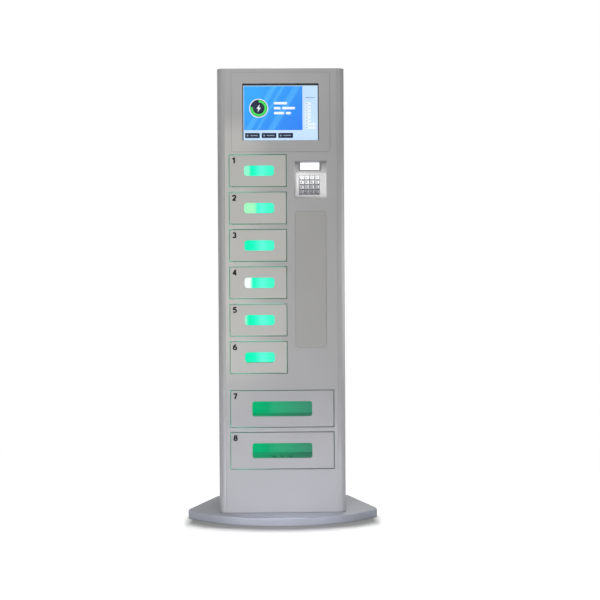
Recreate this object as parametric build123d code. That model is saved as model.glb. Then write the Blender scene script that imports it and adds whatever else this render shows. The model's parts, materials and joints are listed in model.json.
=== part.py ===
"""Floor-standing phone locker: a sheet-steel cabinet on a boat-shaped base plate.

Six small and two large compartments have inset doors with clear windows, hidden hinge pins and
solenoid bolts.  A screen, a sunken metal keypad and a blanked option panel share the front, and a
vented service door closes the back.

Frame: millimetres, +Z up, front faces -Y, origin under the middle of the base's outline.
"""
from build123d import *
from math import atan2, cos, degrees, radians, sin, sqrt
import os

# ---- base plate -------------------------------------------------------------------------------
BASE_T = 30.0            # thickness of the base plate
BASE_WING = 126.0        # how far each tip stands out beyond the cabinet's side
BASE_BULGE = 110.0       # how far the bowed front stands ahead of the cabinet's face
BASE_HEEL = 25.0         # how far the rear corners stand out beyond the cabinet's sides
TIP_SETBACK = 50.0       # tips lie this far behind the cabinet's face
TIP_SIDE = 35.0          # length of the short straight side at each tip
TIP_R = 12.0             # rounding of the tip corners
BASE_BEVEL = 1.5         # bevel along the base's top edge

# ---- cabinet ----------------------------------------------------------------------------------
CAB_W = 500.0
CAB_D = 350.0
CAB_H = 1750.0
CORNER_R = 28.0          # rounded upright front corners
SHEET_T = 2.0            # outer sheet
SEAM = 0.5               # joint line between the front panel and each side panel
RETURN_D = 15.0          # depth of the folded edges at that joint
REAR_FLANGE = 20.0       # inward flange at the back of each side panel
FOOT_FLANGE = 38.0       # inward flange at the foot and head of each side panel

# ---- doors ------------------------------------------------------------------------------------
DOOR_GAP = 2.5           # open gap all round each door
DOOR_T = 1.5             # door sheet
DOOR_D = 18.0            # depth of the door's folded edges
DOOR_BEVEL = 0.8         # bevel along the door's front edges
SMALL_COUNT = 6
LARGE_COUNT = 2
DOOR_MARGIN = 47.25      # cabinet's side to the large doors' edge
COLUMN_W = 183.0         # column for keypad and option panel right of the small doors
SMALL_RAIL = 23.5        # upright distance between two small doors
LARGE_RAIL = 21.5        # upright distance between the two large doors
LARGE_H = 143.5
PLINTH_H = 174.0         # plain front below the lowest door
BAND_H = 69.5            # plain band between the large doors and the small ones
HEAD_H = 339.5           # screen zone above the top door
SMALL_WIN_W, SMALL_WIN_H, SMALL_WIN_R = 118.0, 41.0, 12.0
SMALL_WIN_ASIDE = 5.0    # small windows sit this far from the door's middle towards the lock
LARGE_WIN_W, LARGE_WIN_H, LARGE_WIN_R = 236.0, 59.0, 9.0
PANE_T = 3.0             # clear pane behind each window
PANE_LAP = 11.0          # pane overlap round the window

# ---- hinges and locks -------------------------------------------------------------------------
HINGE_IN = 10.0          # pin axis from the door's left edge
HINGE_BACK = 6.0         # pin axis behind the door's face
PIN_D = 4.0
PIN_CLEAR = 0.08         # radial running clearance of the pins
PIN_REACH = 5.0          # how far a pin reaches past the door's edge fold
BRACKET_W, BRACKET_H, BRACKET_D, BRACKET_T = 16.0, 6.0, 12.0, 2.0
BOLT_W, BOLT_H, BOLT_L = 8.0, 12.0, 20.0
BOLT_BEVEL = 3.5         # bevel that lets a slammed door push the bolt back
BOLT_REST = 0.3          # the drawn-back bolt stands this far inside the wall
BOLT_FIT = 0.15          # clearance round the bolt in its lock
KEEPER_CLEAR = 0.6       # clearance round the bolt in the door's keeper hole
KEEPER_EDGE = 5.0        # metal left round the keeper hole
LOCK_L, LOCK_W, LOCK_H = 24.0, 18.0, 34.0
LOCK_CLEAR = 0.5         # lock body behind the front panel's folded edge

# ---- compartments -----------------------------------------------------------------------------
WIRING_D = 48.0          # space between the compartments and the cabinet's back
LINER_T = 1.5
LIP_H = 6.0              # folded front lip of each shelf
LIP_INSET = 30.0         # the lip stops short of the hinge corner
LED_W, LED_D = 6.0, 10.0
LED_BACK = 24.0          # light strip behind the door's face, clear of the swinging edge
LED_SHORT = 10.0         # light strip ends this far inside the opening

# ---- screen -----------------------------------------------------------------------------------
SCREEN_DOWN = 171.0      # screen's middle below the cabinet's top
SCREEN_W, SCREEN_H, SCREEN_R = 300.0, 224.0, 2.0
SURROUND_EDGE, SURROUND_R = 43.0, 8.0
PLATE_T = 1.5            # laid-on plates: screen surround and cover plate
SCREEN_STEP = 2.0        # the panel's cut-out is larger than the surround's by this much a side
GLASS_LAP = 8.0
GLASS_T = 3.0
FRAME_LAP = 6.0          # monitor's flat frame beyond the glass
FRAME_T = 10.0
CHASSIS_INSET = 20.0
CHASSIS_D = 38.0
ARM_W, ARM_T = 24.0, 2.0

# ---- keypad -----------------------------------------------------------------------------------
KP_W, KP_H, KP_R = 128.0, 147.0, 4.0
KP_BESIDE = 30.55        # keypad cut-out right of the small doors' opening
KP_BELOW = 23.5          # keypad cut-out below the top door's upper edge
KP_FIT = 0.5             # gap between the housing and the panel
KP_WALL = 3.0
KP_FLOOR = 4.0           # thickness of the sloping key plate
KP_RIM = 6.0             # flat rim below the slope
SLOPE_H, SLOPE_D = 91.0, 32.0
LEDGE_H, LEDGE_D = 10.0, 4.0
EAR_H, EAR_T = 10.0, 3.0
KEY_SIZE, KEY_PITCH, KEY_T = 18.0, 20.5, 3.5
KEY_CLIP = 1.2           # clipped corners of each key cap
KEY_ROWS, KEY_COLS = 4, 4
KEY_TRAVEL = 1.1
KEY_SPARE = 0.3          # gap left under a fully pressed key
STEM_SIZE, STEM_FIT = 8.0, 0.2
FIELD_SHIFT = -5.0       # key field and display stand left of the housing's middle
FIELD_MARGIN = 2.0       # pocket border round the keys
FIELD_UP = 9.0           # first keys start this far up the slope
FIELD_R = 2.0            # rounded corners of the pocket
POCKET_D = 1.5
DISPLAY_W, DISPLAY_H, DISPLAY_T = 80.0, 31.0, 2.0

# ---- option panel -----------------------------------------------------------------------------
COVER_W, COVER_R = 120.0, 13.0
COVER_LAP = 12.0
COVER_BESIDE = 33.45     # cover plate right of the small doors' opening
COVER_BELOW = 52.0       # cover plate below the keypad cut-out
COVER_ABOVE = 100.0      # cover plate above the lowest small door's lower edge

# ---- back -------------------------------------------------------------------------------------
REAR_MARGIN = 50.0       # cabinet's side to the service door's edge
REAR_FOOT = 100.0        # cabinet's foot to the service door
REAR_HEAD = 90.0         # service door to the cabinet's top
REAR_D = 14.0            # depth of the service door's folded edges
LIP_D = 13.0             # depth of the back panel's folded rim
REAR_HINGE_IN, REAR_HINGE_BACK = 14.0, 8.0
SLOT_W, SLOT_H, SLOT_PITCH, SLOT_COUNT = 150.0, 6.0, 15.0, 8
SLOT_INSET = 70.0        # first vent slot from the door's end
BARREL_D, BARREL_HEAD_D, BARREL_CLEAR = 16.0, 22.0, 0.1
BARREL_IN = 24.0         # lock axis from the service door's free edge
CAM_W, CAM_T, CAM_L = 14.0, 2.0, 42.0
CAM_GAP = 0.5            # cam runs this far behind the folded edges
INLET_IN, INLET_UP = 90.0, 50.0     # inlet's middle from the cabinet's side and foot
INLET_W, INLET_H, INLET_D = 27.0, 20.0, 24.0
INLET_FLANGE_W, INLET_FLANGE_H = 50.0, 24.0
INLET_WALL, INLET_SOCKET_D = 1.5, 20.0
PRONG_W, PRONG_T, PRONG_L = 4.0, 2.0, 14.0

# ---- electronics ------------------------------------------------------------------------------
SUPPLY_W, SUPPLY_D, SUPPLY_H = 42.0, 98.0, 160.0
SUPPLY_Y, SUPPLY_Z = 40.0, 760.0
BOARD_T, BOARD_D, BOARD_H = 1.6, 120.0, 180.0
BOARD_Y, BOARD_Z = 30.0, 1040.0
STANDOFF_AF, STANDOFF_L, STANDOFF_IN = 6.0, 8.0, 8.0
RELAY_X, RELAY_Y, RELAY_Z, RELAY_PITCH = 16.0, 20.0, 14.0, 20.0

# ---- worked out -------------------------------------------------------------------------------
FACE_Y = (BASE_BULGE - CAB_D) / 2
BACK_Y = FACE_Y + CAB_D
INNER_Y = FACE_Y + SHEET_T
REAR_FACE = BACK_Y - SHEET_T
CAB_Z0 = BASE_T
CAB_Z1 = BASE_T + CAB_H
SEAM_X = CAB_W / 2 - CORNER_R
BASE_TIP_X = CAB_W / 2 + BASE_WING

LARGE_W = CAB_W - 2 * DOOR_MARGIN
SMALL_W = LARGE_W - COLUMN_W
DOOR_LEFT = -LARGE_W / 2
OPEN_LEFT = DOOR_LEFT - DOOR_GAP
SMALL_RIGHT = DOOR_LEFT + SMALL_W + DOOR_GAP
LARGE_RIGHT = LARGE_W / 2 + DOOR_GAP
LARGE_Z0 = CAB_Z0 + PLINTH_H
LARGE_PITCH = LARGE_H + LARGE_RAIL
SMALL_Z0 = LARGE_Z0 + LARGE_COUNT * LARGE_PITCH - LARGE_RAIL + BAND_H
SMALL_Z1 = CAB_Z1 - HEAD_H
SMALL_PITCH = (SMALL_Z1 + SMALL_RAIL - SMALL_Z0) / SMALL_COUNT
SMALL_H = SMALL_PITCH - SMALL_RAIL

BOLT_Y = FACE_Y + RETURN_D + LOCK_CLEAR + LOCK_W / 2
COMP_BACK = BACK_Y - WIRING_D
SCREEN_Z = CAB_Z1 - SCREEN_DOWN
KP_X = SMALL_RIGHT + KP_BESIDE + KP_W / 2
KP_Z = SMALL_Z1 - KP_BELOW - KP_H
SLOPE_A = degrees(atan2(SLOPE_D, SLOPE_H))
COVER_X = SMALL_RIGHT + COVER_BESIDE + COVER_W / 2
COVER_Z0 = SMALL_Z0 + COVER_ABOVE
COVER_H = KP_Z - COVER_BELOW - COVER_Z0
COVER_Z = COVER_Z0 + COVER_H / 2
REAR_W = CAB_W - 2 * REAR_MARGIN
REAR_Z = CAB_Z0 + REAR_FOOT
REAR_H = CAB_Z1 - REAR_HEAD - REAR_Z
INLET_X, INLET_Z = CAB_W / 2 - INLET_IN, CAB_Z0 + INLET_UP


def block(x0, x1, y0, y1, z0, z1):
    """Rectangular solid between two opposite corners."""
    size = Box(x1 - x0, y1 - y0, z1 - z0)
    return Pos((x0 + x1) / 2, (y0 + y1) / 2, (z0 + z1) / 2) * size


def facing(x, y, z):
    """Plane at a point whose normal looks out of the front and whose sketch axes are X and Z."""
    return Plane(origin=(x, y, z), x_dir=(1, 0, 0), z_dir=(0, -1, 0))


def slab(x, y, z, w, h, t, r=0.0):
    """Upright plate with rounded corners: middle x, z; front face at y; t thick towards the back."""
    outline = RectangleRounded(w, h, r) if r > 0 else Rectangle(w, h)
    return extrude(facing(x, y, z) * outline, amount=-t)


def upright_cylinder(x, y, z0, z1, d):
    return Pos(x, y, (z0 + z1) / 2) * Cylinder(d / 2, z1 - z0)


def door_rows():
    """(number, lower edge z, width, height) of every door, counted from the top."""
    total = SMALL_COUNT + LARGE_COUNT
    small = [(n + 1, SMALL_Z0 + (SMALL_COUNT - 1 - n) * SMALL_PITCH, SMALL_W, SMALL_H)
             for n in range(SMALL_COUNT)]
    large = [(n + 1, LARGE_Z0 + (total - 1 - n) * LARGE_PITCH, LARGE_W, LARGE_H)
             for n in range(SMALL_COUNT, total)]
    return small + large


def window(number, w):
    """(middle x, width, height, corner radius) of the window in a door that is w wide."""
    middle = DOOR_LEFT + w / 2
    if number <= SMALL_COUNT:
        return middle + SMALL_WIN_ASIDE, SMALL_WIN_W, SMALL_WIN_H, SMALL_WIN_R
    return middle, LARGE_WIN_W, LARGE_WIN_H, LARGE_WIN_R


# ---- base and outer sheet ---------------------------------------------------------------------
def base_plate():
    """Plate with a bowed front between two blunt tips, and sides that narrow to the rear."""
    tip_front = FACE_Y + TIP_SETBACK
    tip_back = tip_front + TIP_SIDE
    heel = CAB_W / 2 + BASE_HEEL
    sides = Polyline((BASE_TIP_X, tip_front), (BASE_TIP_X, tip_back), (heel, BACK_Y),
                     (-heel, BACK_Y), (-BASE_TIP_X, tip_back), (-BASE_TIP_X, tip_front))
    bow = ThreePointArc((-BASE_TIP_X, tip_front), (0, FACE_Y - BASE_BULGE), (BASE_TIP_X, tip_front))
    plate = extrude(make_face([sides, bow]), amount=BASE_T)
    tips = [e for e in plate.edges().filter_by(Axis.Z) if abs(e.center().X) > heel + TIP_R]
    plate = fillet(tips, TIP_R)
    return chamfer(plate.faces().sort_by(Axis.Z)[-1].edges(), BASE_BEVEL)


def side_profile():
    """Plan of one folded side sheet: front return, round corner, side and rear flange (left)."""
    half = CAB_W / 2
    arc_y = FACE_Y + CORNER_R
    inner_r = CORNER_R - SHEET_T
    inset = SEAM_X + SHEET_T
    inner_start = arc_y - sqrt(inner_r ** 2 - SHEET_T ** 2)
    diag = sqrt(0.5)
    front = Polyline((-SEAM_X, FACE_Y), (-SEAM_X, FACE_Y + RETURN_D), (-inset, FACE_Y + RETURN_D),
                     (-inset, inner_start))
    inner_bend = ThreePointArc((-inset, inner_start),
                               (-SEAM_X - inner_r * diag, arc_y - inner_r * diag),
                               (-half + SHEET_T, arc_y))
    rest = Polyline((-half + SHEET_T, arc_y), (-half + SHEET_T, REAR_FACE),
                    (-half + REAR_FLANGE, REAR_FACE), (-half + REAR_FLANGE, BACK_Y),
                    (-half, BACK_Y), (-half, arc_y))
    outer_bend = ThreePointArc((-half, arc_y),
                               (-SEAM_X - CORNER_R * diag, arc_y - CORNER_R * diag),
                               (-SEAM_X, FACE_Y))
    return make_face([front, inner_bend, rest, outer_bend])


def side_panels():
    z1 = CAB_Z1 - SHEET_T
    left = extrude(Pos(0, 0, CAB_Z0) * side_profile(), amount=z1 - CAB_Z0)
    x0 = -CAB_W / 2 + SHEET_T
    for low in (CAB_Z0, z1 - SHEET_T):
        left += block(x0, x0 + FOOT_FLANGE, FACE_Y + CORNER_R, REAR_FACE - SHEET_T,
                      low, low + SHEET_T)
    return [left, mirror(left, about=Plane.YZ)]


def top_panel():
    """Flat lid over the side sheets, with the cabinet's rounded front corners."""
    lid = block(-CAB_W / 2, CAB_W / 2, FACE_Y, BACK_Y, CAB_Z1 - SHEET_T, CAB_Z1)
    corners = lid.edges().filter_by(Axis.Z).group_by(Axis.Y)[0]
    return fillet(corners, CORNER_R)


def front_panel():
    """Folded front sheet with the cut-outs for screen, doors, keypad and option panel."""
    half = SEAM_X - SEAM
    z1 = CAB_Z1 - SHEET_T
    panel = block(-half, half, FACE_Y, INNER_Y, CAB_Z0, z1)
    for x0 in (-half, half - SHEET_T):
        panel += block(x0, x0 + SHEET_T, FACE_Y, FACE_Y + RETURN_D, CAB_Z0, z1)
    cuts = [slab(0, FACE_Y, SCREEN_Z, SCREEN_W + 2 * SCREEN_STEP, SCREEN_H + 2 * SCREEN_STEP,
                 SHEET_T),
            slab(KP_X, FACE_Y, KP_Z + KP_H / 2, KP_W, KP_H, SHEET_T, KP_R),
            slab(COVER_X, FACE_Y, COVER_Z, COVER_W - 2 * COVER_LAP, COVER_H - 2 * COVER_LAP,
                 SHEET_T)]
    for _, z, w, h in door_rows():
        cuts.append(slab(DOOR_LEFT + w / 2, FACE_Y, z + h / 2, w + 2 * DOOR_GAP,
                         h + 2 * DOOR_GAP, SHEET_T))
    return panel - cuts


# ---- doors ------------------------------------------------------------------------------------
def hinge_axis():
    return DOOR_LEFT + HINGE_IN, FACE_Y + HINGE_BACK


def door(number, z, w, h):
    """Folded tray with a window, pin holes in two edges and a keeper tab behind the third."""
    x = DOOR_LEFT + w / 2
    leaf = slab(x, FACE_Y, z + h / 2, w, h, DOOR_D)
    leaf = chamfer(leaf.faces().sort_by(Axis.Y)[0].edges(), DOOR_BEVEL)
    leaf -= slab(x, FACE_Y + DOOR_T, z + h / 2, w - 2 * DOOR_T, h - 2 * DOOR_T, DOOR_D)
    win_x, win_w, win_h, win_r = window(number, w)
    leaf -= slab(win_x, FACE_Y, z + h / 2, win_w, win_h, DOOR_T, win_r)
    pin_x, pin_y = hinge_axis()
    leaf -= upright_cylinder(pin_x, pin_y, z, z + h, PIN_D + 2 * PIN_CLEAR)
    edge, mid_z = DOOR_LEFT + w, z + h / 2
    half_w = BOLT_W / 2 + KEEPER_CLEAR
    half_h = BOLT_H / 2 + KEEPER_CLEAR
    leaf += block(edge - DOOR_T, edge, FACE_Y + DOOR_T, BOLT_Y + half_w + KEEPER_EDGE,
                  mid_z - half_h - KEEPER_EDGE, mid_z + half_h + KEEPER_EDGE)
    return leaf - block(edge - DOOR_T, edge, BOLT_Y - half_w, BOLT_Y + half_w,
                        mid_z - half_h, mid_z + half_h)


def window_pane(number, z, w, h):
    """Clear sheet bonded behind the window."""
    x, win_w, win_h, _ = window(number, w)
    return slab(x, FACE_Y + DOOR_T, z + h / 2, win_w + 2 * PANE_LAP, win_h + 2 * PANE_LAP, PANE_T)


def hinge_bracket(edge_z, way):
    """Folded bracket behind the front panel with a pin; way is +1 above a door and -1 below."""
    x, y = hinge_axis()
    z_open = edge_z + way * DOOR_GAP
    levels = sorted((z_open, z_open + way * BRACKET_T))
    uprights = sorted((z_open, z_open + way * BRACKET_H))
    reach = sorted((z_open + way * BRACKET_T / 2, edge_z - way * (DOOR_T + PIN_REACH)))
    left, right = x - BRACKET_W / 2, x + BRACKET_W / 2
    shelf = block(left, right, INNER_Y, INNER_Y + BRACKET_D, *levels)
    back = block(left, right, INNER_Y, INNER_Y + BRACKET_T, *uprights)
    return shelf + back + upright_cylinder(x, y, reach[0], reach[1], PIN_D)


def door_hinges():
    """Two brackets for every front door, and the service door's two pins."""
    solids = []
    for _, z, _, h in door_rows():
        solids += [hinge_bracket(z, -1), hinge_bracket(z + h, 1)]
    x, y = rear_hinge_axis()
    for end, way in ((REAR_Z, -1), (REAR_Z + REAR_H, 1)):
        span = sorted((end + way * DOOR_GAP, end - way * (DOOR_T + PIN_REACH)))
        solids.append(upright_cylinder(x, y, span[0], span[1], PIN_D))
    return solids


# ---- compartments and locks -------------------------------------------------------------------
def zones():
    """(lowest door z, door height, pitch, count, right edge) of the large and small doors."""
    return [(LARGE_Z0, LARGE_H, LARGE_PITCH, LARGE_COUNT, LARGE_RIGHT),
            (SMALL_Z0, SMALL_H, SMALL_PITCH, SMALL_COUNT, SMALL_RIGHT)]


def bolt_box(right, mid_z, clear, x0, x1):
    """Space of a bolt between two places right of the opening, grown by a clearance."""
    half_w, half_h = BOLT_W / 2 + clear, BOLT_H / 2 + clear
    return block(right + x0, right + x1, BOLT_Y - half_w, BOLT_Y + half_w,
                 mid_z - half_h, mid_z + half_h)


def compartment_liner():
    """Side and back sheets of both door groups, and a lipped shelf below and above each row."""
    solids = []
    y1 = COMP_BACK
    for z, h, pitch, count, right in zones():
        drop = (pitch - h) / 2
        low = z - drop - LINER_T / 2
        high = z + (count - 1) * pitch + h + drop + LINER_T / 2
        wall = block(right, right + LINER_T, INNER_Y, y1, low, high)
        for n in range(count):
            wall -= bolt_box(right, z + n * pitch + h / 2, BOLT_FIT, 0, LINER_T)
        solids += [wall, block(OPEN_LEFT - LINER_T, OPEN_LEFT, INNER_Y, y1, low, high),
                   block(OPEN_LEFT - LINER_T, right + LINER_T, y1, y1 + LINER_T, low, high)]
        for n in range(count + 1):
            level = z + n * pitch - drop
            shelf = block(OPEN_LEFT, right, INNER_Y, y1, level - LINER_T / 2, level + LINER_T / 2)
            shelf += block(OPEN_LEFT + LIP_INSET, right, INNER_Y, INNER_Y + LINER_T,
                           level - LIP_H / 2, level + LIP_H / 2)
            solids.append(shelf)
    return solids


def lock_body(right, mid_z):
    """Solenoid lock on the outer side of the compartment's right wall, with its bolt channel."""
    x0 = right + LINER_T
    body = block(x0, x0 + LOCK_L, BOLT_Y - LOCK_W / 2, BOLT_Y + LOCK_W / 2,
                 mid_z - LOCK_H / 2, mid_z + LOCK_H / 2)
    return body - bolt_box(right, mid_z, BOLT_FIT, 0, BOLT_REST + BOLT_L + BOLT_FIT)


def lock_bolt(right, mid_z):
    """Square bolt, drawn back, with its nose bevelled towards the door's closing side."""
    bolt = bolt_box(right, mid_z, 0, BOLT_REST, BOLT_REST + BOLT_L)
    nose = bolt.faces().sort_by(Axis.X)[0].edges().sort_by(Axis.Y)[0]
    return chamfer(nose, BOLT_BEVEL)


def door_right(w):
    return DOOR_LEFT + w + DOOR_GAP


def lock_bodies():
    return [lock_body(door_right(w), z + h / 2) for _, z, w, h in door_rows()]


def led_strips():
    """Upright light strip inside the hinge side of each compartment."""
    y0 = FACE_Y + LED_BACK
    strips = []
    for _, z, _, h in door_rows():
        strip = block(OPEN_LEFT, OPEN_LEFT + LED_W, y0, y0 + LED_D, z + LED_SHORT, z + h - LED_SHORT)
        strips.append(chamfer(strip.edges().filter_by(Axis.Z).sort_by(Axis.X)[-2:], LED_W / 3))
    return strips


# ---- screen -----------------------------------------------------------------------------------
def screen_surround():
    plate = slab(0, FACE_Y - PLATE_T, SCREEN_Z, SCREEN_W + 2 * SURROUND_EDGE,
                 SCREEN_H + 2 * SURROUND_EDGE, PLATE_T, SURROUND_R)
    return plate - slab(0, FACE_Y - PLATE_T, SCREEN_Z, SCREEN_W, SCREEN_H, PLATE_T, SCREEN_R)


def glass_size():
    lap = 2 * (SCREEN_STEP + GLASS_LAP)
    return SCREEN_W + lap, SCREEN_H + lap


def touch_glass():
    w, h = glass_size()
    return slab(0, INNER_Y, SCREEN_Z, w, h, GLASS_T)


def monitor():
    """Flat front frame with the driver chassis behind it."""
    w, h = glass_size()
    w += 2 * FRAME_LAP
    h += 2 * FRAME_LAP
    y = INNER_Y + GLASS_T
    body = slab(0, y, SCREEN_Z, w, h, FRAME_T)
    return body + slab(0, y + FRAME_T, SCREEN_Z, w - 2 * CHASSIS_INSET, h - 2 * CHASSIS_INSET,
                       CHASSIS_D)


def monitor_brackets():
    """Four Z-shaped straps that clamp the monitor's frame against the front panel."""
    w, h = glass_size()
    half = w / 2 + FRAME_LAP
    y1 = INNER_Y + GLASS_T + FRAME_T
    straps = []
    for up in (-1, 1):
        z = SCREEN_Z + up * h / 4
        z0, z1 = z - ARM_W / 2, z + ARM_W / 2
        strap = block(half, half + ARM_T, INNER_Y, y1 + ARM_T, z0, z1)
        strap += block(half, half + CHASSIS_INSET, INNER_Y, INNER_Y + ARM_T, z0, z1)
        strap += block(half - CHASSIS_INSET + ARM_T, half, y1, y1 + ARM_T, z0, z1)
        straps += [strap, mirror(strap, about=Plane.YZ)]
    return straps


# ---- keypad -----------------------------------------------------------------------------------
def slope_plane():
    """Plane of the sloping key plate: origin at its lower edge, normal out of the front."""
    a = radians(SLOPE_A)
    return Plane(origin=(KP_X + FIELD_SHIFT, FACE_Y, KP_Z + KP_FIT + KP_RIM), x_dir=(1, 0, 0),
                 z_dir=(0, -cos(a), sin(a)))


def key_places():
    """(row, column, right, up the slope) of each key's middle, rows counted from the top."""
    for row in range(KEY_ROWS):
        for col in range(KEY_COLS):
            right = (col - (KEY_COLS - 1) / 2) * KEY_PITCH
            up = FIELD_UP + KEY_SIZE / 2 + (KEY_ROWS - 1 - row) * KEY_PITCH
            yield row + 1, col + 1, right, up


def keypad_housing():
    """Cast tray: sloping key plate, ledge and upright display wall between two cheeks."""
    w, h = KP_W - 2 * KP_FIT, KP_H - 2 * KP_FIT
    z0 = KP_Z + KP_FIT
    z_slope = z0 + KP_RIM
    z_ledge = z_slope + SLOPE_H
    z_wall = z_ledge + LEDGE_H
    depth = SLOPE_D + LEDGE_D
    thick = KP_FLOOR / cos(radians(SLOPE_A))
    hollow_pts = [(FACE_Y, z_slope), (FACE_Y + SLOPE_D, z_ledge), (FACE_Y + depth, z_wall),
                  (FACE_Y + depth, z0 + h - KP_WALL), (FACE_Y, z0 + h - KP_WALL)]
    outer_pts = [(FACE_Y, z0), (FACE_Y + thick, z0), (FACE_Y + thick, z_slope),
                 (FACE_Y + SLOPE_D + thick, z_ledge), (FACE_Y + depth + thick, z_wall),
                 (FACE_Y + depth + thick, z0 + h), (FACE_Y, z0 + h)]
    profile = Plane.YZ.offset(KP_X)
    outer = extrude(profile * make_face(Polyline(outer_pts, close=True)), amount=w / 2, both=True)
    outer &= slab(KP_X, FACE_Y, z0 + h / 2, w, h, depth + thick, KP_R - KP_FIT)
    hollow = extrude(profile * make_face(Polyline(hollow_pts, close=True)),
                     amount=w / 2 - KP_WALL, both=True)
    body = outer - hollow
    ear_y = INNER_Y
    for end, way in ((z0, -1), (z0 + h, 1)):
        ear = sorted((end - way * KP_WALL, end + way * EAR_H))
        body += block(KP_X - w / 2 + KP_R, KP_X + w / 2 - KP_R, ear_y, ear_y + EAR_T, *ear)
    field_w = (KEY_COLS - 1) * KEY_PITCH + KEY_SIZE + 2 * FIELD_MARGIN
    field_h = (KEY_ROWS - 1) * KEY_PITCH + KEY_SIZE + 2 * FIELD_MARGIN
    mid_up = FIELD_UP - FIELD_MARGIN + field_h / 2
    pocket = extrude(slope_plane() * Pos(0, mid_up) * RectangleRounded(field_w, field_h, FIELD_R),
                     amount=-POCKET_D)
    hole = STEM_SIZE + 2 * STEM_FIT
    holes = [extrude(slope_plane() * Pos(right, up) * Rectangle(hole, hole), amount=-2 * KP_FLOOR)
             for _, _, right, up in key_places()]
    return body - pocket - holes


def key(right, up):
    """Metal key cap with a square guide stem through the key plate."""
    lift = KEY_TRAVEL + KEY_SPARE - POCKET_D
    at = slope_plane() * Pos(right, up, lift)
    outline = Rectangle(KEY_SIZE, KEY_SIZE)
    cap = extrude(chamfer(outline.vertices(), KEY_CLIP), amount=KEY_T)
    stem_l = lift + KP_FLOOR
    stem = extrude(Rectangle(STEM_SIZE, STEM_SIZE), amount=-stem_l)
    return at * (cap + stem)


def keypad_display():
    mid_z = KP_Z + KP_H - KP_FIT - KP_WALL - DISPLAY_H / 2 - (KP_WALL / 2)
    return slab(KP_X + FIELD_SHIFT / 2, FACE_Y + SLOPE_D + LEDGE_D - DISPLAY_T, mid_z,
                DISPLAY_W, DISPLAY_H, DISPLAY_T)


# ---- option panel -----------------------------------------------------------------------------
def cover_plate():
    return slab(COVER_X, FACE_Y - PLATE_T, COVER_Z, COVER_W, COVER_H, PLATE_T, COVER_R)


# ---- back -------------------------------------------------------------------------------------
def rear_hinge_axis():
    return REAR_W / 2 - REAR_HINGE_IN, REAR_FACE - REAR_HINGE_BACK


def barrel_axis():
    return -REAR_W / 2 + BARREL_IN, REAR_Z + REAR_H / 2


def back_panel():
    """Rear sheet inside the side panels' flanges, with a folded rim round the service door."""
    y1 = REAR_FACE
    mid_z = REAR_Z + REAR_H / 2
    panel = block(-CAB_W / 2 + SHEET_T, CAB_W / 2 - SHEET_T, y1 - SHEET_T, y1,
                  CAB_Z0, CAB_Z1 - SHEET_T)
    open_w, open_h = REAR_W + 2 * DOOR_GAP, REAR_H + 2 * DOOR_GAP
    panel += slab(0, y1 - LIP_D, mid_z, open_w + 2 * SHEET_T, open_h + 2 * SHEET_T, LIP_D)
    panel -= slab(0, y1 - LIP_D, mid_z, open_w, open_h, LIP_D)
    return panel - slab(INLET_X, y1 - SHEET_T, INLET_Z, INLET_W, INLET_H, SHEET_T)


def rear_door():
    """Folded service door with two banks of vent slots and the hole for its lock."""
    mid_z = REAR_Z + REAR_H / 2
    leaf = slab(0, REAR_FACE - REAR_D, mid_z, REAR_W, REAR_H, REAR_D)
    leaf -= slab(0, REAR_FACE - REAR_D, mid_z, REAR_W - 2 * DOOR_T, REAR_H - 2 * DOOR_T,
                 REAR_D - DOOR_T)
    for n in range(SLOT_COUNT):
        rise = SLOT_INSET + n * SLOT_PITCH
        for z in (REAR_Z + rise, REAR_Z + REAR_H - rise):
            leaf -= slab(0, REAR_FACE - DOOR_T, z, SLOT_W, SLOT_H, DOOR_T)
    pin_x, pin_y = rear_hinge_axis()
    leaf -= upright_cylinder(pin_x, pin_y, REAR_Z, REAR_Z + REAR_H, PIN_D + 2 * PIN_CLEAR)
    lock_x, lock_z = barrel_axis()
    hole = Pos(lock_x, REAR_FACE - DOOR_T / 2, lock_z) * Rot(90, 0, 0) * Cylinder(
        BARREL_D / 2 + BARREL_CLEAR, DOOR_T)
    return leaf - hole


def rear_door_lock():
    """Key barrel with a flanged head outside and a cam behind the door's folded edge."""
    x, z = barrel_axis()
    cam_y = REAR_FACE - max(REAR_D, LIP_D) - CAM_GAP
    barrel = extrude(facing(x, cam_y - CAM_T, z) * Circle(BARREL_D / 2),
                     amount=-(REAR_FACE - cam_y + CAM_T))
    head = extrude(facing(x, REAR_FACE, z) * Circle(BARREL_HEAD_D / 2), amount=-SHEET_T)
    key_slot = slab(x, REAR_FACE, z, 2.0, 9.0, SHEET_T)
    cam = slab(x, cam_y - CAM_T, z - CAM_L / 2 + CAM_W / 2, CAM_W, CAM_L, CAM_T, CAM_W / 2 - 0.1)
    return barrel + head - key_slot + cam


def power_inlet():
    """Mains inlet: flange, open socket and three prongs."""
    y1 = BACK_Y
    body = slab(INLET_X, REAR_FACE, INLET_Z, INLET_FLANGE_W, INLET_FLANGE_H, BACK_Y - REAR_FACE, 2)
    body += slab(INLET_X, REAR_FACE - INLET_D, INLET_Z, INLET_W, INLET_H, INLET_D)
    socket_w, socket_h = INLET_W - 2 * INLET_WALL, INLET_H - 2 * INLET_WALL
    body -= slab(INLET_X, y1 - INLET_SOCKET_D, INLET_Z, socket_w, socket_h, INLET_SOCKET_D, 2)
    for side, up in ((-1, -0.5), (1, -0.5), (0, 1)):
        body += slab(INLET_X + side * socket_w / 4, y1 - INLET_SOCKET_D,
                     INLET_Z + up * socket_h / 5, PRONG_T, PRONG_W, PRONG_L)
    return body


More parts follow.
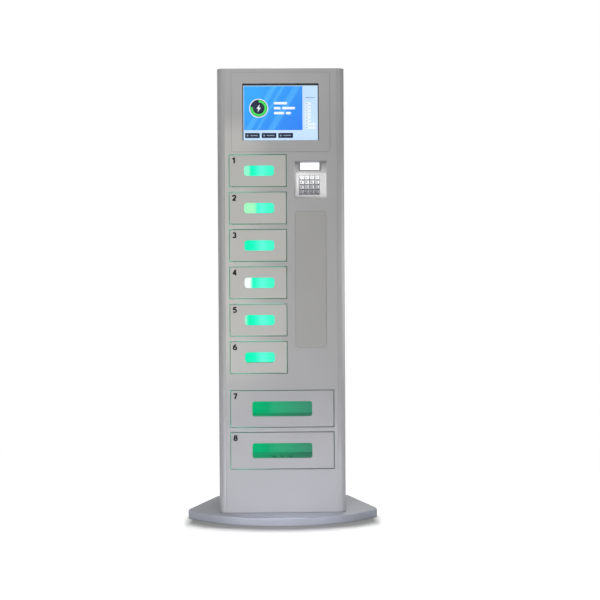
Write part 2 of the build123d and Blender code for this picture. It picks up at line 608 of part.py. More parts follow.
# ---- electronics ------------------------------------------------------------------------------
def electronics():
    """Power supply and relay board on the outer side of the small compartments' right wall."""
    x0 = SMALL_RIGHT + LINER_T
    supply = block(x0, x0 + SUPPLY_W, SUPPLY_Y, SUPPLY_Y + SUPPLY_D, SUPPLY_Z, SUPPLY_Z + SUPPLY_H)
    supply = fillet(supply.faces().sort_by(Axis.X)[-1].edges().filter_by(Axis.Z), SHEET_T)
    face = x0 + STANDOFF_L
    board = block(face, face + BOARD_T, BOARD_Y, BOARD_Y + BOARD_D, BOARD_Z, BOARD_Z + BOARD_H)
    for y in (BOARD_Y + STANDOFF_IN, BOARD_Y + BOARD_D - STANDOFF_IN):
        for z in (BOARD_Z + STANDOFF_IN, BOARD_Z + BOARD_H - STANDOFF_IN):
            hexagon = RegularPolygon(STANDOFF_AF / 2, 6, major_radius=False)
            board += extrude(Plane.YZ.offset(x0) * Pos(y, z) * hexagon, amount=STANDOFF_L)
    front = face + BOARD_T
    first = BOARD_Z + STANDOFF_IN + STANDOFF_AF
    for n in range(SMALL_COUNT + LARGE_COUNT):
        z = first + n * RELAY_PITCH
        board += block(front, front + RELAY_X, BOARD_Y + STANDOFF_IN,
                       BOARD_Y + STANDOFF_IN + RELAY_Y, z, z + RELAY_Z)
    return [supply, board]


def nodes():
    """Every node's name with its solids."""
    made = {"base_plate": base_plate(), "side_panels": side_panels(), "top_panel": top_panel(),
            "front_panel": front_panel(), "back_panel": back_panel(), "rear_door": rear_door(),
            "rear_door_lock": rear_door_lock(), "compartment_liner": compartment_liner(),
            "door_hinges": door_hinges(), "lock_bodies": lock_bodies(),
            "led_strips": led_strips(), "screen_surround": screen_surround(),
            "touch_glass": touch_glass(), "monitor": monitor(),
            "monitor_brackets": monitor_brackets(), "keypad_housing": keypad_housing(),
            "keypad_display": keypad_display(), "cover_plate": cover_plate(),
            "electronics": electronics(), "power_inlet": power_inlet()}
    for number, z, w, h in door_rows():
        made[f"door_{number}"] = door(number, z, w, h)
        made[f"window_pane_{number}"] = window_pane(number, z, w, h)
        made[f"lock_bolt_{number}"] = lock_bolt(door_right(w), z + h / 2)
    for row, col, right, up in key_places():
        made[f"key_{row}_{col}"] = key(right, up)
    return made


def solids_of(shape):
    """Loose solids of a node, whether it was made as one shape or as a list."""
    shapes = shape if isinstance(shape, list) else [shape]
    return [solid for item in shapes for solid in item.solids()]


def main():
    os.makedirs("parts", exist_ok=True)
    for name, shape in nodes().items():
        solids = solids_of(shape)
        whole = solids[0] if len(solids) == 1 else Compound(children=solids)
        export_step(whole, f"parts/{name}.step")


main()
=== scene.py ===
"""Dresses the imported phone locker: powder-coated sheet, lit windows, screen, metal keypad and back."""
import json
import math

import bpy
import numpy as np
from mathutils import Matrix, Vector


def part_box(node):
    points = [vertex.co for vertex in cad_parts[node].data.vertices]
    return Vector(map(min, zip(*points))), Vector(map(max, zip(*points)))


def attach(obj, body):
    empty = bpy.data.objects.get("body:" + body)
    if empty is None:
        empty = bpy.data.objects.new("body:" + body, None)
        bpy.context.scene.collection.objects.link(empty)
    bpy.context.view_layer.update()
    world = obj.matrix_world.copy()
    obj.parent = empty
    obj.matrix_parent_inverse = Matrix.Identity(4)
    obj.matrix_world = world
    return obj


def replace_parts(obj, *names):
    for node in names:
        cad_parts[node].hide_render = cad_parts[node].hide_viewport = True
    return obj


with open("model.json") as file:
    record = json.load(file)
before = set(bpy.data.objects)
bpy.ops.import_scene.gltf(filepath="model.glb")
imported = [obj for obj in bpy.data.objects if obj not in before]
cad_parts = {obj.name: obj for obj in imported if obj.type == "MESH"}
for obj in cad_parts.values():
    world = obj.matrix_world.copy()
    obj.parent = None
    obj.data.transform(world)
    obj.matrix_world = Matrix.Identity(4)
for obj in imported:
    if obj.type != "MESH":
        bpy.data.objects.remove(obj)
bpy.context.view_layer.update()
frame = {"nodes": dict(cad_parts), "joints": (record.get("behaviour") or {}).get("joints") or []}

scene = bpy.context.scene

# ---- Camera ----
# Stands well back from the doors at chest height, turned a little to the right and almost level,
# with a small downward shift that keeps the cabinet's sides upright.
CAMERA_BACK = 5.0           # from the origin to the camera, m
CAMERA_HEIGHT = 1.0615
CAMERA_LENS = 74.38         # mm on a 36 mm sensor
CAMERA_PITCH = 0.595        # degrees down
CAMERA_YAW = 0.858          # degrees to the right
CAMERA_ROLL = 0.323         # degrees clockwise, seen from behind the camera
CAMERA_SHIFT = -0.06
CAMERA_SIGHT = 60           # m

camera_data = bpy.data.cameras.new("camera")
camera_data.lens = CAMERA_LENS
camera_data.shift_y = CAMERA_SHIFT
camera_data.clip_end = CAMERA_SIGHT
camera = bpy.data.objects.new("camera", camera_data)
scene.collection.objects.link(camera)
camera.matrix_world = (Matrix.Translation((0, -CAMERA_BACK, CAMERA_HEIGHT))
                       @ Matrix.Rotation(math.radians(-CAMERA_YAW), 4, "Z")
                       @ Matrix.Rotation(math.radians(90 - CAMERA_PITCH), 4, "X")
                       @ Matrix.Rotation(math.radians(-CAMERA_ROLL), 4, "Z"))
scene.camera = camera
scene.view_settings.view_transform = "Standard"


# ---- Floor and light ----
# A white seamless paper floor that runs out of sight, under a weak even sky. The key lamp stands in
# front on the left. Weaker ones stand at the right, overhead, beside the right edge, over the base,
# low down on both sides for the foot, and behind.
def linear(colour):
    """Linear RGBA of an sRGB hex colour: each channel through the sRGB curve's inverse."""
    parts = [int(colour[i:i + 2], 16) / 255 for i in (1, 3, 5)]
    return tuple(c / 12.92 if c <= 0.04045 else ((c + 0.055) / 1.055) ** 2.4 for c in parts) + (1.0,)


def node(tree, kind, settings=(), values=(), links=()):
    """Adds one shader node: settings are its properties, values its inputs, with colours in hex, and
    links what feeds them."""
    made = tree.nodes.new("ShaderNode" + kind)
    for key, value in dict(settings).items():
        setattr(made, key, value)
    for key, value in dict(values).items():
        made.inputs[key].default_value = linear(value) if isinstance(value, str) else value
    for key, (source, output) in dict(links).items():
        tree.links.new(source.outputs[output], made.inputs[key])
    return made


def new_material(name):
    """Empty node material; returns it with its tree and the link to its object coordinates."""
    made = bpy.data.materials.new(name)
    made.use_nodes = True
    made.node_tree.nodes.clear()
    return made, made.node_tree, (node(made.node_tree, "TexCoord"), "Object")


def finish_material(tree, values=(), links=(), shader=None):
    """Ends a material in one principled shader, or in the shader given."""
    shader = shader or node(tree, "BsdfPrincipled", values=values, links=links)
    out = node(tree, "OutputMaterial")
    tree.links.new(shader.outputs[0], out.inputs["Surface"])


def speckle(tree, spot, size, low, high, detail=2.0):
    """Level that wanders from low to high over a noise with grains of a size in metres."""
    grain = node(tree, "TexNoise", values={"Scale": 1 / size, "Detail": detail}, links={"Vector": spot})
    return node(tree, "MapRange", values={"To Min": low, "To Max": high},
                links={"Value": (grain, "Fac")}), 0


def seen_directly(tree):
    """1 for camera, glossy and transmission rays, which show the white studio; 0 for light."""
    rays = node(tree, "LightPath")
    either = node(tree, "Math", {"operation": "MAXIMUM"},
                  links={0: (rays, "Is Camera Ray"), 1: (rays, "Is Transmission Ray")})
    return node(tree, "Math", {"operation": "MAXIMUM"}, links={0: (either, 0), 1: (rays, "Is Glossy Ray")})


SKY_STRENGTH = 0.12
# Lamps: where they stand, what they point at, their size, power, spread in degrees and colour.
LAMPS = {"low_left_lamp": ((-0.5, -0.75, 0.06), (0, 0, 0.05), 0.10, 1.3, 180, "#E8EAFF"),
         "low_right_lamp": ((0.42, -0.6, 0.14), (0, 0, 0.04), 0.16, 0.62, 180, "#E2E6FF"),
         "base_lamp": ((0.1, -0.9, 1.75), (0, -0.3, 0.02), 0.2, 0.46, 24, "#EEF1FF"),
         "top_lamp": ((-0.25, -1.2, 2.5), (0, 0, 1.7), 0.6, 5.6, 180, "#FFFFFF"),
         "right_lamp": ((1.6, -3.4, 0.8), (0, 0, 0.6), 1.2, 9.0, 180, "#FFFDF8"),
         "edge_lamp": ((1.9, 0.05, 0.95), (0.2, 0, 0.95), 0.7, 1.9, 70, "#FFFFFF"),
         "front_lamp": ((-0.95, -3.2, 0.6), (0, 0, 0.8), 1.2, 32.2, 180, "#FFFDF8"),
         "back_lamp": ((1.2, 4.0, 3.6), (0, 0, 0.8), 2.0, 56.0, 180, "#FFFFFF")}
for name, (at, aim, size, power, spread, colour) in LAMPS.items():
    data = bpy.data.lights.new(name, "AREA")
    data.size = size
    data.energy = power
    data.spread = math.radians(spread)
    data.color = linear(colour)[:3]
    lamp = bpy.data.objects.new(name, data)
    scene.collection.objects.link(lamp)
    lamp.location = at
    lamp.rotation_euler = (Vector(aim) - Vector(at)).to_track_quat("-Z", "Y").to_euler()

world = bpy.data.worlds.new("studio")
world.use_nodes = True
world.node_tree.nodes.clear()
scene.world = world
tree = world.node_tree
sky = node(tree, "Background", values={"Strength": SKY_STRENGTH, "Color": "#FFFFFF"})
white = node(tree, "Background", values={"Strength": 1.0, "Color": "#FFFFFF"})
mixed = node(tree, "MixShader", links={0: (seen_directly(tree), 0), 1: (sky, 0), 2: (white, 0)})
world_out = node(tree, "OutputWorld")
tree.links.new(mixed.outputs[0], world_out.inputs["Surface"])

FLOOR_HALF = 40.0
FLOOR_COLOUR = "#ECECEC"
FLOOR_LIFT = 0.97           # how white the floor shows by itself
FLOOR_LIT = 0.3             # share of the lamps' light that it shows besides
PAPER_CLOUD = 0.025
SHADOW_REACH = 0.16         # soft contact shadow round the base, m
SHADOW_RAYS = 48
SHADOW_FROM, SHADOW_TO = 0.60, 1.0    # openness to the sky at which the floor is darkest and plain
SHADOW_DARK, SHADOW_CURVE = 0.18, 17.0
SHADOW_FADE = 0.022         # it fades out within this of the base's tips, inside and outside them
SHADOW_BACK = -0.075        # and over twice that behind this y
NEAR, FAR = 0.7, 2.2        # the floor fades from lit paper to plain white between these radii
floor_mesh = bpy.data.meshes.new("floor")
floor_mesh.from_pydata([(-FLOOR_HALF, -FLOOR_HALF, 0), (FLOOR_HALF, -FLOOR_HALF, 0),
                        (FLOOR_HALF, FLOOR_HALF, 0), (-FLOOR_HALF, FLOOR_HALF, 0)], [], [(0, 1, 2, 3)])
floor = bpy.data.objects.new("floor", floor_mesh)
scene.collection.objects.link(floor)
floor_paper, tree, spot = new_material("background_paper")
seen = seen_directly(tree)
contact = node(tree, "AmbientOcclusion", {"samples": SHADOW_RAYS}, {"Distance": SHADOW_REACH})
open_sky = node(tree, "MapRange", values={"From Min": SHADOW_FROM, "From Max": SHADOW_TO},
                links={"Value": (contact, "AO")})
open_sky = node(tree, "Math", {"operation": "POWER"}, {1: SHADOW_CURVE}, {0: (open_sky, 0)})
axes = node(tree, "SeparateXYZ", links={0: spot})
aside = node(tree, "Math", {"operation": "ABSOLUTE"}, links={0: (axes, "X")})
for way, start in (((aside, 0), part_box("base_plate")[1].x - SHADOW_FADE), ((axes, "Y"), SHADOW_BACK)):
    fade = node(tree, "MapRange", values={"From Min": start, "From Max": start + 2 * SHADOW_FADE},
                links={"Value": way})
    open_sky = node(tree, "Math", {"operation": "MAXIMUM"}, links={0: (open_sky, 0), 1: (fade, 0)})
open_sky = node(tree, "MapRange", values={"To Min": SHADOW_DARK}, links={"Value": (open_sky, 0)})
lift = node(tree, "Math", {"operation": "MULTIPLY"}, {1: FLOOR_LIFT}, {0: (open_sky, 0)})
lift = node(tree, "Math", {"operation": "MULTIPLY"}, links={0: (lift, 0), 1: (seen, 0)})
lit = node(tree, "MapRange", values={"To Min": 1.0, "To Max": FLOOR_LIT}, links={"Value": (seen, 0)})
lit = node(tree, "Math", {"operation": "MULTIPLY"}, links={0: (open_sky, 0), 1: (lit, 0)})
shade = node(tree, "Mix", {"data_type": "RGBA"}, {6: "#000000", 7: FLOOR_COLOUR}, {"Factor": (lit, 0)})
paper = node(tree, "BsdfPrincipled", values={"Emission Color": "#FFFFFF"},
             links={"Base Color": (shade, 2), "Roughness": speckle(tree, spot, PAPER_CLOUD, 0.75, 0.9),
                    "Emission Strength": (lift, 0)})
radius = node(tree, "VectorMath", {"operation": "LENGTH"}, links={0: spot})
away = node(tree, "MapRange", {"interpolation_type": "SMOOTHSTEP"},
            {"From Min": NEAR, "From Max": FAR}, {"Value": (radius, "Value")})
away = node(tree, "Math", {"operation": "MULTIPLY"}, links={0: (away, 0), 1: (seen, 0)})
plain = node(tree, "Emission", values={"Strength": 1.0})
finish_material(tree, shader=node(tree, "MixShader", links={0: (away, 0), 1: (paper, 0), 2: (plain, 0)}))
floor_mesh.materials.append(floor_paper)

# ---- Painted sheet: cabinet panels and doors ----
# Folded sheet steel with a silver-grey powder coat, baked to a satin skin with a fine orange-peel
# ripple and faint flake sparkle over softly rounded folds, with painted shade near steps. The front's coat
# has painted light round the small doors; those doors' own coat is lighter by painted light, and the cover
# plate's darker by painted shade.
COAT_COLOUR = "#B0B0B1"
COAT_DARKER = "#A7A7A9"
# lighter colour of the painted light round the small doors
COAT_PAINTED_LIGHT = "#C0C0BE"
# coat of the cover plate: the body's, made darker by painted shade
COVER_SHADED_COLOUR = "#A9A9A8"
COVER_SHADED_DARKER = "#A1A1A0"
# coat of the small doors: the body's, made lighter and a touch warm by painted light
DOOR_LIT_COLOUR = "#C0C0BD"
DOOR_LIT_DARKER = "#B8B8B5"
PEEL_SIZE = 0.0016          # orange-peel ripple, m
PEEL_DEPTH = 0.00003
PEEL_STRENGTH = 0.35
FLAKE_SIZE = 0.0005
FLAKE_SHARE = 0.35          # of the flakes in the tone, beside the clouds
CLOUD_SIZE = 0.35           # slow tone change of the sprayed coat
CLOUD_FROM, CLOUD_TO = 0.45, 0.95     # of clouds and flakes: where the tone starts and ends its change
SMOOTHER, ROUGHER = 0.04, 0.05        # how far the roughness wanders
EDGE_SOFT = 0.0008          # radius of the coated edges
PAINTED_SHADE_REACH = 0.005         # painted shade darkens the coat within this of a step, such as a laid-on plate's, and in corners
DOORS = [name for name in sorted(frame["nodes"]) if name.startswith("door_") and name[5:].isdigit()]
SMALL_DOORS, LARGE_DOORS = DOORS[:6], DOORS[6:]
low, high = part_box(SMALL_DOORS[-1])[0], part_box(SMALL_DOORS[0])[1]
# Fades of the painted light on the front's coat: the axis, where it is gone and where it is full.
PAINTED_LIGHT_FADES = (("X", high.x - 0.015, low.x + 0.035), ("Z", high.z + 0.18, high.z + 0.06),
              ("Z", low.z - 0.10, low.z + 0.10))


def pores(tree, spot, size, strength, depth=0.00004, detail=2.0, under=()):
    """Normal bent by a noise with grains of a size in metres, over the normal that under gives."""
    grain = node(tree, "TexNoise", values={"Scale": 1 / size, "Detail": detail}, links={"Vector": spot})
    return node(tree, "Bump", values={"Strength": strength, "Distance": depth},
                links={"Height": (grain, "Fac"), **dict(under)}), 0


def powder_coat(name, colour, darker, painted_light=None, rough=0.45, peel=1.0):
    """Satin silver coat: cloudy tone, flake sparkle, peel ripple, softened edges and painted shade near
    steps and in corners. The tone turns to the painted light colour, where that is given, by the product of
    the fades."""
    made, tree, spot = new_material(name)
    cloud = node(tree, "TexNoise", values={"Scale": 1 / CLOUD_SIZE}, links={"Vector": spot})
    flake = node(tree, "TexNoise", values={"Scale": 1 / FLAKE_SIZE, "Detail": 1.0}, links={"Vector": spot})
    both = node(tree, "Math", {"operation": "MULTIPLY_ADD"}, {1: FLAKE_SHARE},
                {0: (flake, "Fac"), 2: (cloud, "Fac")})
    change = node(tree, "MapRange", values={"From Min": CLOUD_FROM, "From Max": CLOUD_TO},
                  links={"Value": (both, 0)})
    tone = node(tree, "Mix", {"data_type": "RGBA"}, {6: darker, 7: colour}, {"Factor": (change, 0)})
    # painted light: the tone turns lighter round the small doors, by the product of the fades
    if painted_light:
        axes = node(tree, "SeparateXYZ", links={0: spot})
        across, *upright = [node(tree, "MapRange", {"interpolation_type": "SMOOTHSTEP"},
                                 {"From Min": gone, "From Max": full}, {"Value": (axes, axis)})
                            for axis, gone, full in PAINTED_LIGHT_FADES]
        for fade in upright:
            across = node(tree, "Math", {"operation": "MULTIPLY"}, links={0: (across, 0), 1: (fade, 0)})
        tone = node(tree, "Mix", {"data_type": "RGBA"}, {7: painted_light}, {"Factor": (across, 0), 6: (tone, 2)})
    # painted shade: the tone is multiplied by ambient occlusion, darker near steps, in gaps and in corners
    joint = node(tree, "AmbientOcclusion", {"samples": 8}, {"Distance": PAINTED_SHADE_REACH})
    tone = node(tree, "Mix", {"data_type": "RGBA", "blend_type": "MULTIPLY"}, {"Factor": 1.0},
                {6: (tone, 2), 7: (joint, "AO")})
    soft = node(tree, "Bevel", {"samples": 4}, {"Radius": EDGE_SOFT})
    skin = pores(tree, spot, PEEL_SIZE, PEEL_STRENGTH * peel, PEEL_DEPTH, 1.5, {"Normal": (soft, 0)})
    rub = speckle(tree, spot, CLOUD_SIZE, rough - SMOOTHER, rough + ROUGHER)
    finish_material(tree, {"Metallic": 0.12, "IOR": 1.45},
                    {"Base Color": (tone, 2), "Roughness": rub, "Normal": skin})
    return made


def dress(names, material):
    """Gives CAD nodes one material in place of what they were packed with."""
    for name in names:
        mesh = frame["nodes"][name].data
        mesh.materials.clear()
        mesh.materials.append(material)


dress(["side_panels", "top_panel", "back_panel", "rear_door"],
      powder_coat("powder_coat_silver", COAT_COLOUR, COAT_DARKER))
dress(["front_panel", "screen_surround"] + LARGE_DOORS,
      powder_coat("powder_coat_silver_front_painted_light", COAT_COLOUR, COAT_DARKER, COAT_PAINTED_LIGHT))
dress(["cover_plate"], powder_coat("powder_coat_silver_cover_painted_shade", COVER_SHADED_COLOUR, COVER_SHADED_DARKER))
dress(SMALL_DOORS, powder_coat("powder_coat_silver_doors_painted_light", DOOR_LIT_COLOUR, DOOR_LIT_DARKER))

# ---- Base plate ----
# Thick steel plate with the same coat, laid on thicker and a shade bluer, and scuffed dull by shoes.
BASE_COLOUR = "#A9ACB3"
BASE_DARKER = "#A0A3AA"
BASE_ROUGH, BASE_PEEL = 0.5, 1.4
dress(["base_plate"], powder_coat("powder_coat_base", BASE_COLOUR, BASE_DARKER, None, BASE_ROUGH, BASE_PEEL))

# ---- Door numbers ----
# Near-black cut vinyl figures stuck near the upper left corner of each door. Each stroke is a flat
# band along a line or an arc, in a space one high and 0.72 wide.
FIGURE_COLOUR = "#08080A"
FIGURE_W = 0.72             # of its height
FIGURE_H = 0.023
FIGURE_IN = 0.010           # from the door's left edge
FIGURE_DOWN = 0.0095        # from the door's upper edge
FIGURE_T = 0.00012
STROKE = 0.26               # width of a stroke
STROKE_RISE = 0.05          # each stroke is this much thicker than the last, so that none share a face
VINYL_GRAIN = 0.00111


def arc(x, y, across, upright, start, stop):
    """Points of an ellipse's arc, from start to stop in degrees."""
    turn = np.radians(np.linspace(start, stop, max(6, round(abs(stop - start) / 12))))
    return np.column_stack([x + across * np.cos(turn), y + upright * np.sin(turn)])


SIX = [arc(0.36, -0.67, 0.26, 0.23, 0, 360), arc(0.52, -0.62, 0.42, 0.52, 184, 84)]
FIGURES = {
    "0": [arc(0.36, -0.5, 0.26, 0.40, 0, 360)],
    "1": [[(0.42, 0), (0.42, -1)], [(0.42, -0.09), (0.10, -0.30)]],
    "2": [arc(0.36, -0.35, 0.25, 0.25, 175, -28), [(0.59, -0.44), (0.13, -0.90)],
          [(0.05, -0.90), (0.66, -0.90)]],
    "3": [arc(0.34, -0.30, 0.22, 0.20, 155, -90), arc(0.34, -0.70, 0.26, 0.20, 90, -155)],
    "4": [[(0.50, -0.05), (0.10, -0.68)], [(0.02, -0.70), (0.70, -0.70)], [(0.50, 0), (0.50, -1)]],
    "5": [[(0.14, -0.10), (0.64, -0.10)], [(0.19, -0.06), (0.13, -0.54)],
          arc(0.34, -0.66, 0.27, 0.24, 128, -150)],
    "6": SIX,
    "7": [[(0.03, -0.10), (0.68, -0.10)], [(0.60, -0.12), (0.27, -1.0)]],
    "8": [arc(0.36, -0.28, 0.20, 0.18, 0, 360), arc(0.36, -0.70, 0.26, 0.20, 0, 360)],
    "9": [np.array((FIGURE_W, -1)) - line for line in SIX]}


def stacked(stacks, hollow=False):
    """Closed mesh: quads join the rings of each stack from the lowest up, and the end rings are
    capped. Hollow stacks are frames, whose last ring joins the first instead."""
    points, faces = [], []
    for rings in stacks:
        rings = np.asarray(rings)
        start = sum(len(p) for p in points)
        index = start + np.arange(rings.shape[0] * rings.shape[1]).reshape(rings.shape[:2])
        if hollow:
            index = np.concatenate([index, index[:1]])
        beside = np.roll(index, -1, axis=1)
        quads = np.stack([index[:-1], beside[:-1], beside[1:], index[1:]], axis=-1)
        faces += quads.reshape(-1, 4).tolist()
        if not hollow:
            faces += [index[0][::-1].tolist(), index[-1].tolist()]
        points.append(rings.reshape(-1, 3))
    mesh = bpy.data.meshes.new("stacked")
    mesh.from_pydata(np.concatenate(points).tolist(), [], faces)
    return mesh


def level_ring(outline, height, middle=(0.0, 0.0)):
    """An outline's points moved to a middle and lifted to a height."""
    return np.column_stack([outline + np.array(middle), np.full(len(outline), height)])


def strokes(lines, height, thick):
    """Figure of flat bands: each line's points move half a stroke to both sides of its course."""
    stacks = []
    for number, line in enumerate(lines):
        line = np.asarray(line, dtype=float)
        ahead = np.gradient(line, axis=0)
        aside = np.column_stack([-ahead[:, 1], ahead[:, 0]]) / np.linalg.norm(ahead, axis=1)[:, None]
        right, left = (line - aside * STROKE / 2) * height, (line + aside * STROKE / 2) * height
        top = thick * (1 + STROKE_RISE * number)
        corners = ((right, 0), (left, 0), (left, top), (right, top))
        stacks.append(np.stack([level_ring(side, level) for side, level in corners], axis=1))
    return stacked(stacks)


RIGHT, UP, OUT = Vector((1, 0, 0)), Vector((0, 0, 1)), Vector((0, -1, 0))


def put_mesh(name, mesh, material, body, at=None, axes=(RIGHT, UP, OUT)):
    """Object at the origin around a mesh, riding a body. A mesh drawn in x, y, z is first moved to
    the point at, with its x, y and z along the axes."""
    mesh.name = name
    if at is not None:
        mesh.transform(Matrix.Translation(at) @ Matrix(axes).transposed().to_4x4())
    piece = bpy.data.objects.new(name, mesh)
    scene.collection.objects.link(piece)
    mesh.materials.clear()
    mesh.materials.append(material)
    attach(piece, body)
    return piece


def grained(name, values, wandering, size, low, high, detail=2.0):
    """Plain material, of which one value wanders from low to high over grains of a size in metres."""
    made, tree, spot = new_material(name)
    finish_material(tree, values, {wandering: speckle(tree, spot, size, low, high, detail)})
    return made


vinyl = grained("cut_vinyl_black", {"Base Color": FIGURE_COLOUR, "Specular IOR Level": 0.2},
                "Roughness", VINYL_GRAIN, 0.35, 0.5)
for name in DOORS:
    low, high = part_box(name)
    mesh = strokes(FIGURES[name[5:]], FIGURE_H, FIGURE_T)
    put_mesh("number_" + name, mesh, vinyl, name,
             (low.x + FIGURE_IN, low.y, high.z - FIGURE_DOWN))

# ---- Compartments ----
# Boxes of white-coated sheet steel behind the doors. Their walls and shelves carry a little green
# light from the strips as a painted glow; the outer side of the sheets stays plain grey.
LINER_T = 0.0015
DOOR_GAP = 0.0025
LINER_COLOUR = "#9DA3A0"
LINER_GRAIN = 0.00143
WALL_GLOW, WALL_LIT = "#329A7A", 1.25
GLOW_FROM, GLOW_TO = -0.20, -0.02     # the glow dims to none between these x, away from the strip
liner_low, liner_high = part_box("compartment_liner")


def compartment(name):
    """Inner corners of the sheet box behind a door: its rail height above and below is shared."""
    upper, lower = (SMALL_DOORS if name in SMALL_DOORS else LARGE_DOORS)[:2]
    half = (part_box(upper)[0].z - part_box(lower)[1].z - LINER_T) / 2
    low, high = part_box(name)
    return (Vector((low.x - DOOR_GAP, liner_low.y, low.z - half)),
            Vector((high.x + DOOR_GAP, liner_high.y - LINER_T, high.z + half)))


def face_middles(name):
    """Middles of a CAD node's faces as an (n, 3) array."""
    mesh = frame["nodes"][name].data
    middles = np.empty(len(mesh.polygons) * 3)
    mesh.polygons.foreach_get("center", middles)
    return middles.reshape(-1, 3)


def dress_part(name, material, chosen):
    """Adds a material to a CAD node and gives it to the chosen faces."""
    mesh = frame["nodes"][name].data
    slots = np.empty(len(mesh.polygons), dtype=np.int32)
    mesh.polygons.foreach_get("material_index", slots)
    mesh.materials.append(material)
    slots[chosen] = len(mesh.materials) - 1
    mesh.polygons.foreach_set("material_index", slots)


def liner_coat(name, glow):
    """Fine-grained white coat with a painted green glow that is full at the strip's side."""
    made, tree, spot = new_material(name)
    axes = node(tree, "SeparateXYZ", links={0: spot})
    level = node(tree, "MapRange", {"interpolation_type": "SMOOTHSTEP"},
                 {"From Min": GLOW_FROM, "From Max": GLOW_TO, "To Min": glow, "To Max": 0.0},
                 {"Value": (axes, "X")})
    finish_material(tree, {"Base Color": LINER_COLOUR, "Roughness": 0.55,
                           "Emission Color": WALL_GLOW},
                    {"Normal": pores(tree, spot, LINER_GRAIN, 0.2, 0.00003), "Emission Strength": (level, 0)})
    return made


dress(["compartment_liner"], liner_coat("liner_coat_plain", 0.0))
middles = face_middles("compartment_liner")
slack = 0.2 * LINER_T
inside = np.zeros(len(middles), dtype=bool)
for group in (SMALL_DOORS, LARGE_DOORS):
    low, high = compartment(group[-1])[0], compartment(group[0])[1]
    inside |= ((middles > np.array(low) - slack) & (middles < np.array(high) + slack)).all(1)
dress_part("compartment_liner", liner_coat("liner_coat_lit", WALL_LIT), inside)

# ---- Back cards ----
# A bowed white polystyrene card lines the back of each compartment, with the strips' green light painted on
# it
# as a glow: mint behind the small doors, darker green behind the large ones, dimming towards its edges.
CARD_T = 0.0008
CARD_OFF = 0.0002           # the card's rear stands this far off the sheet behind it
CARD_INSET = 0.0015
CARD_BOW = 0.0015
CARD_STEP = 0.004           # grid spacing of the card's mesh
CARD_FADE = 0.030           # how far in from its edges the card is dimmer
CARD_DIM = 0.16
CARD_CLOUD, CARD_UNEVEN = 0.04, 0.06    # size of the glow's clouds, and their share of it
MINT = ((0.32, "#10F6BC"), (0.40, "#1CFBC8"), (0.55, "#66FEDF"), (0.68, "#48FACE"))
GREEN = ((0.26, "#00B677"), (0.34, "#00A871"), (0.42, "#2EAC7C"), (0.76, "#3E9074"))
# Painted light where the strip's first lamps shine straight on the card: how white it gets, how far across
# and how far the spot's middle lies above the card's.
LAMP_SPOTS = {"door_1": (0.30, 0.080, 0.019), "door_2": (0.85, 0.106, 0.010),
              "door_4": (1.0, 0.084, -0.008), "door_5": (0.35, 0.066, -0.017)}
SPOT_SOFT = 0.014
SPOT_HALF, SPOT_FADE = 0.044, 0.018     # half its height, and how much of that fades out


def smooth(t):
    """Smooth step: 3t^2 - 2t^3 of t held between 0 and 1."""
    t = np.clip(t, 0, 1)
    return t * t * (3 - 2 * t)


def grid_mesh(points):
    """Mesh of an (n, m, 3) grid of points, one quad between each four neighbours."""
    rows, columns = points.shape[:2]
    index = np.arange(rows * columns).reshape(rows, columns)
    quads = np.stack([index[:-1, :-1], index[:-1, 1:], index[1:, 1:], index[1:, :-1]], axis=-1)
    mesh = bpy.data.meshes.new("grid")
    mesh.from_pydata(points.reshape(-1, 3).tolist(), [], quads.reshape(-1, 4).tolist())
    return mesh


def back_card(name):
    """Card at u, v of its width and height, bowed to the front by bow (1 - (2u-1)^2)(1 - (2v-1)^2);
    it carries how far across, how dimmed and how white each point is."""
    low, high = compartment(name)
    width, height = high.x - low.x - 2 * CARD_INSET, high.z - low.z - 2 * CARD_INSET
    u, v = np.meshgrid(*(np.linspace(0, 1, round(side / CARD_STEP)) for side in (width, height)))
    bow = CARD_BOW * (1 - (2 * u - 1) ** 2) * (1 - (2 * v - 1) ** 2)
    points = [low.x + CARD_INSET + u * width, high.y - CARD_OFF - CARD_T - bow,
              low.z + CARD_INSET + v * height]
    mesh = grid_mesh(np.stack(points, axis=-1))
    edge = np.minimum(np.minimum(u, 1 - u) * width, np.minimum(v, 1 - v) * height)
    white, reach, rise = LAMP_SPOTS.get(name, (0.0, 0.0, 0.0))
    off = np.abs((v - 0.5) * height - rise)
    white = white * smooth((reach - u * width) / SPOT_SOFT) * smooth((SPOT_HALF - off) / SPOT_FADE)
    carried = {"across": u, "level": CARD_DIM + (1 - CARD_DIM) * smooth(edge / CARD_FADE), "white": white}
    for key, values in carried.items():
        mesh.attributes.new(key, "FLOAT", "POINT").data.foreach_set("value", np.ravel(values))
    return mesh


def lit_card(name, stops, strength, spot_colour):
    """Painted glow whose colour follows the way across the card, whitened by painted light where the lamps
    hit it.
    """
    made, tree, spot = new_material(name)
    across, level, painted_lamp_spot = (node(tree, "Attribute", {"attribute_name": key})
                             for key in ("across", "level", "white"))
    fade = node(tree, "ValToRGB", links={0: (across, "Fac")})
    ramp = fade.color_ramp.elements
    ramp[0].position, ramp[0].color = stops[0][0], linear(stops[0][1])
    ramp[1].position, ramp[1].color = stops[-1][0], linear(stops[-1][1])
    for position, colour in stops[1:-1]:
        ramp.new(position).color = linear(colour)
    glow = node(tree, "Mix", {"data_type": "RGBA"}, {7: spot_colour},
                {"Factor": (painted_lamp_spot, "Fac"), 6: (fade, "Color")})
    beat = speckle(tree, spot, CARD_CLOUD, (1 - CARD_UNEVEN) * strength, (1 + CARD_UNEVEN) * strength)
    power = node(tree, "Math", {"operation": "MULTIPLY"}, links={0: beat, 1: (level, "Fac")})
    finish_material(tree, {"Base Color": "#0C1210", "Roughness": 0.5, "Specular IOR Level": 0.1},
                    {"Emission Color": (glow, 2), "Emission Strength": (power, 0)})
    return made


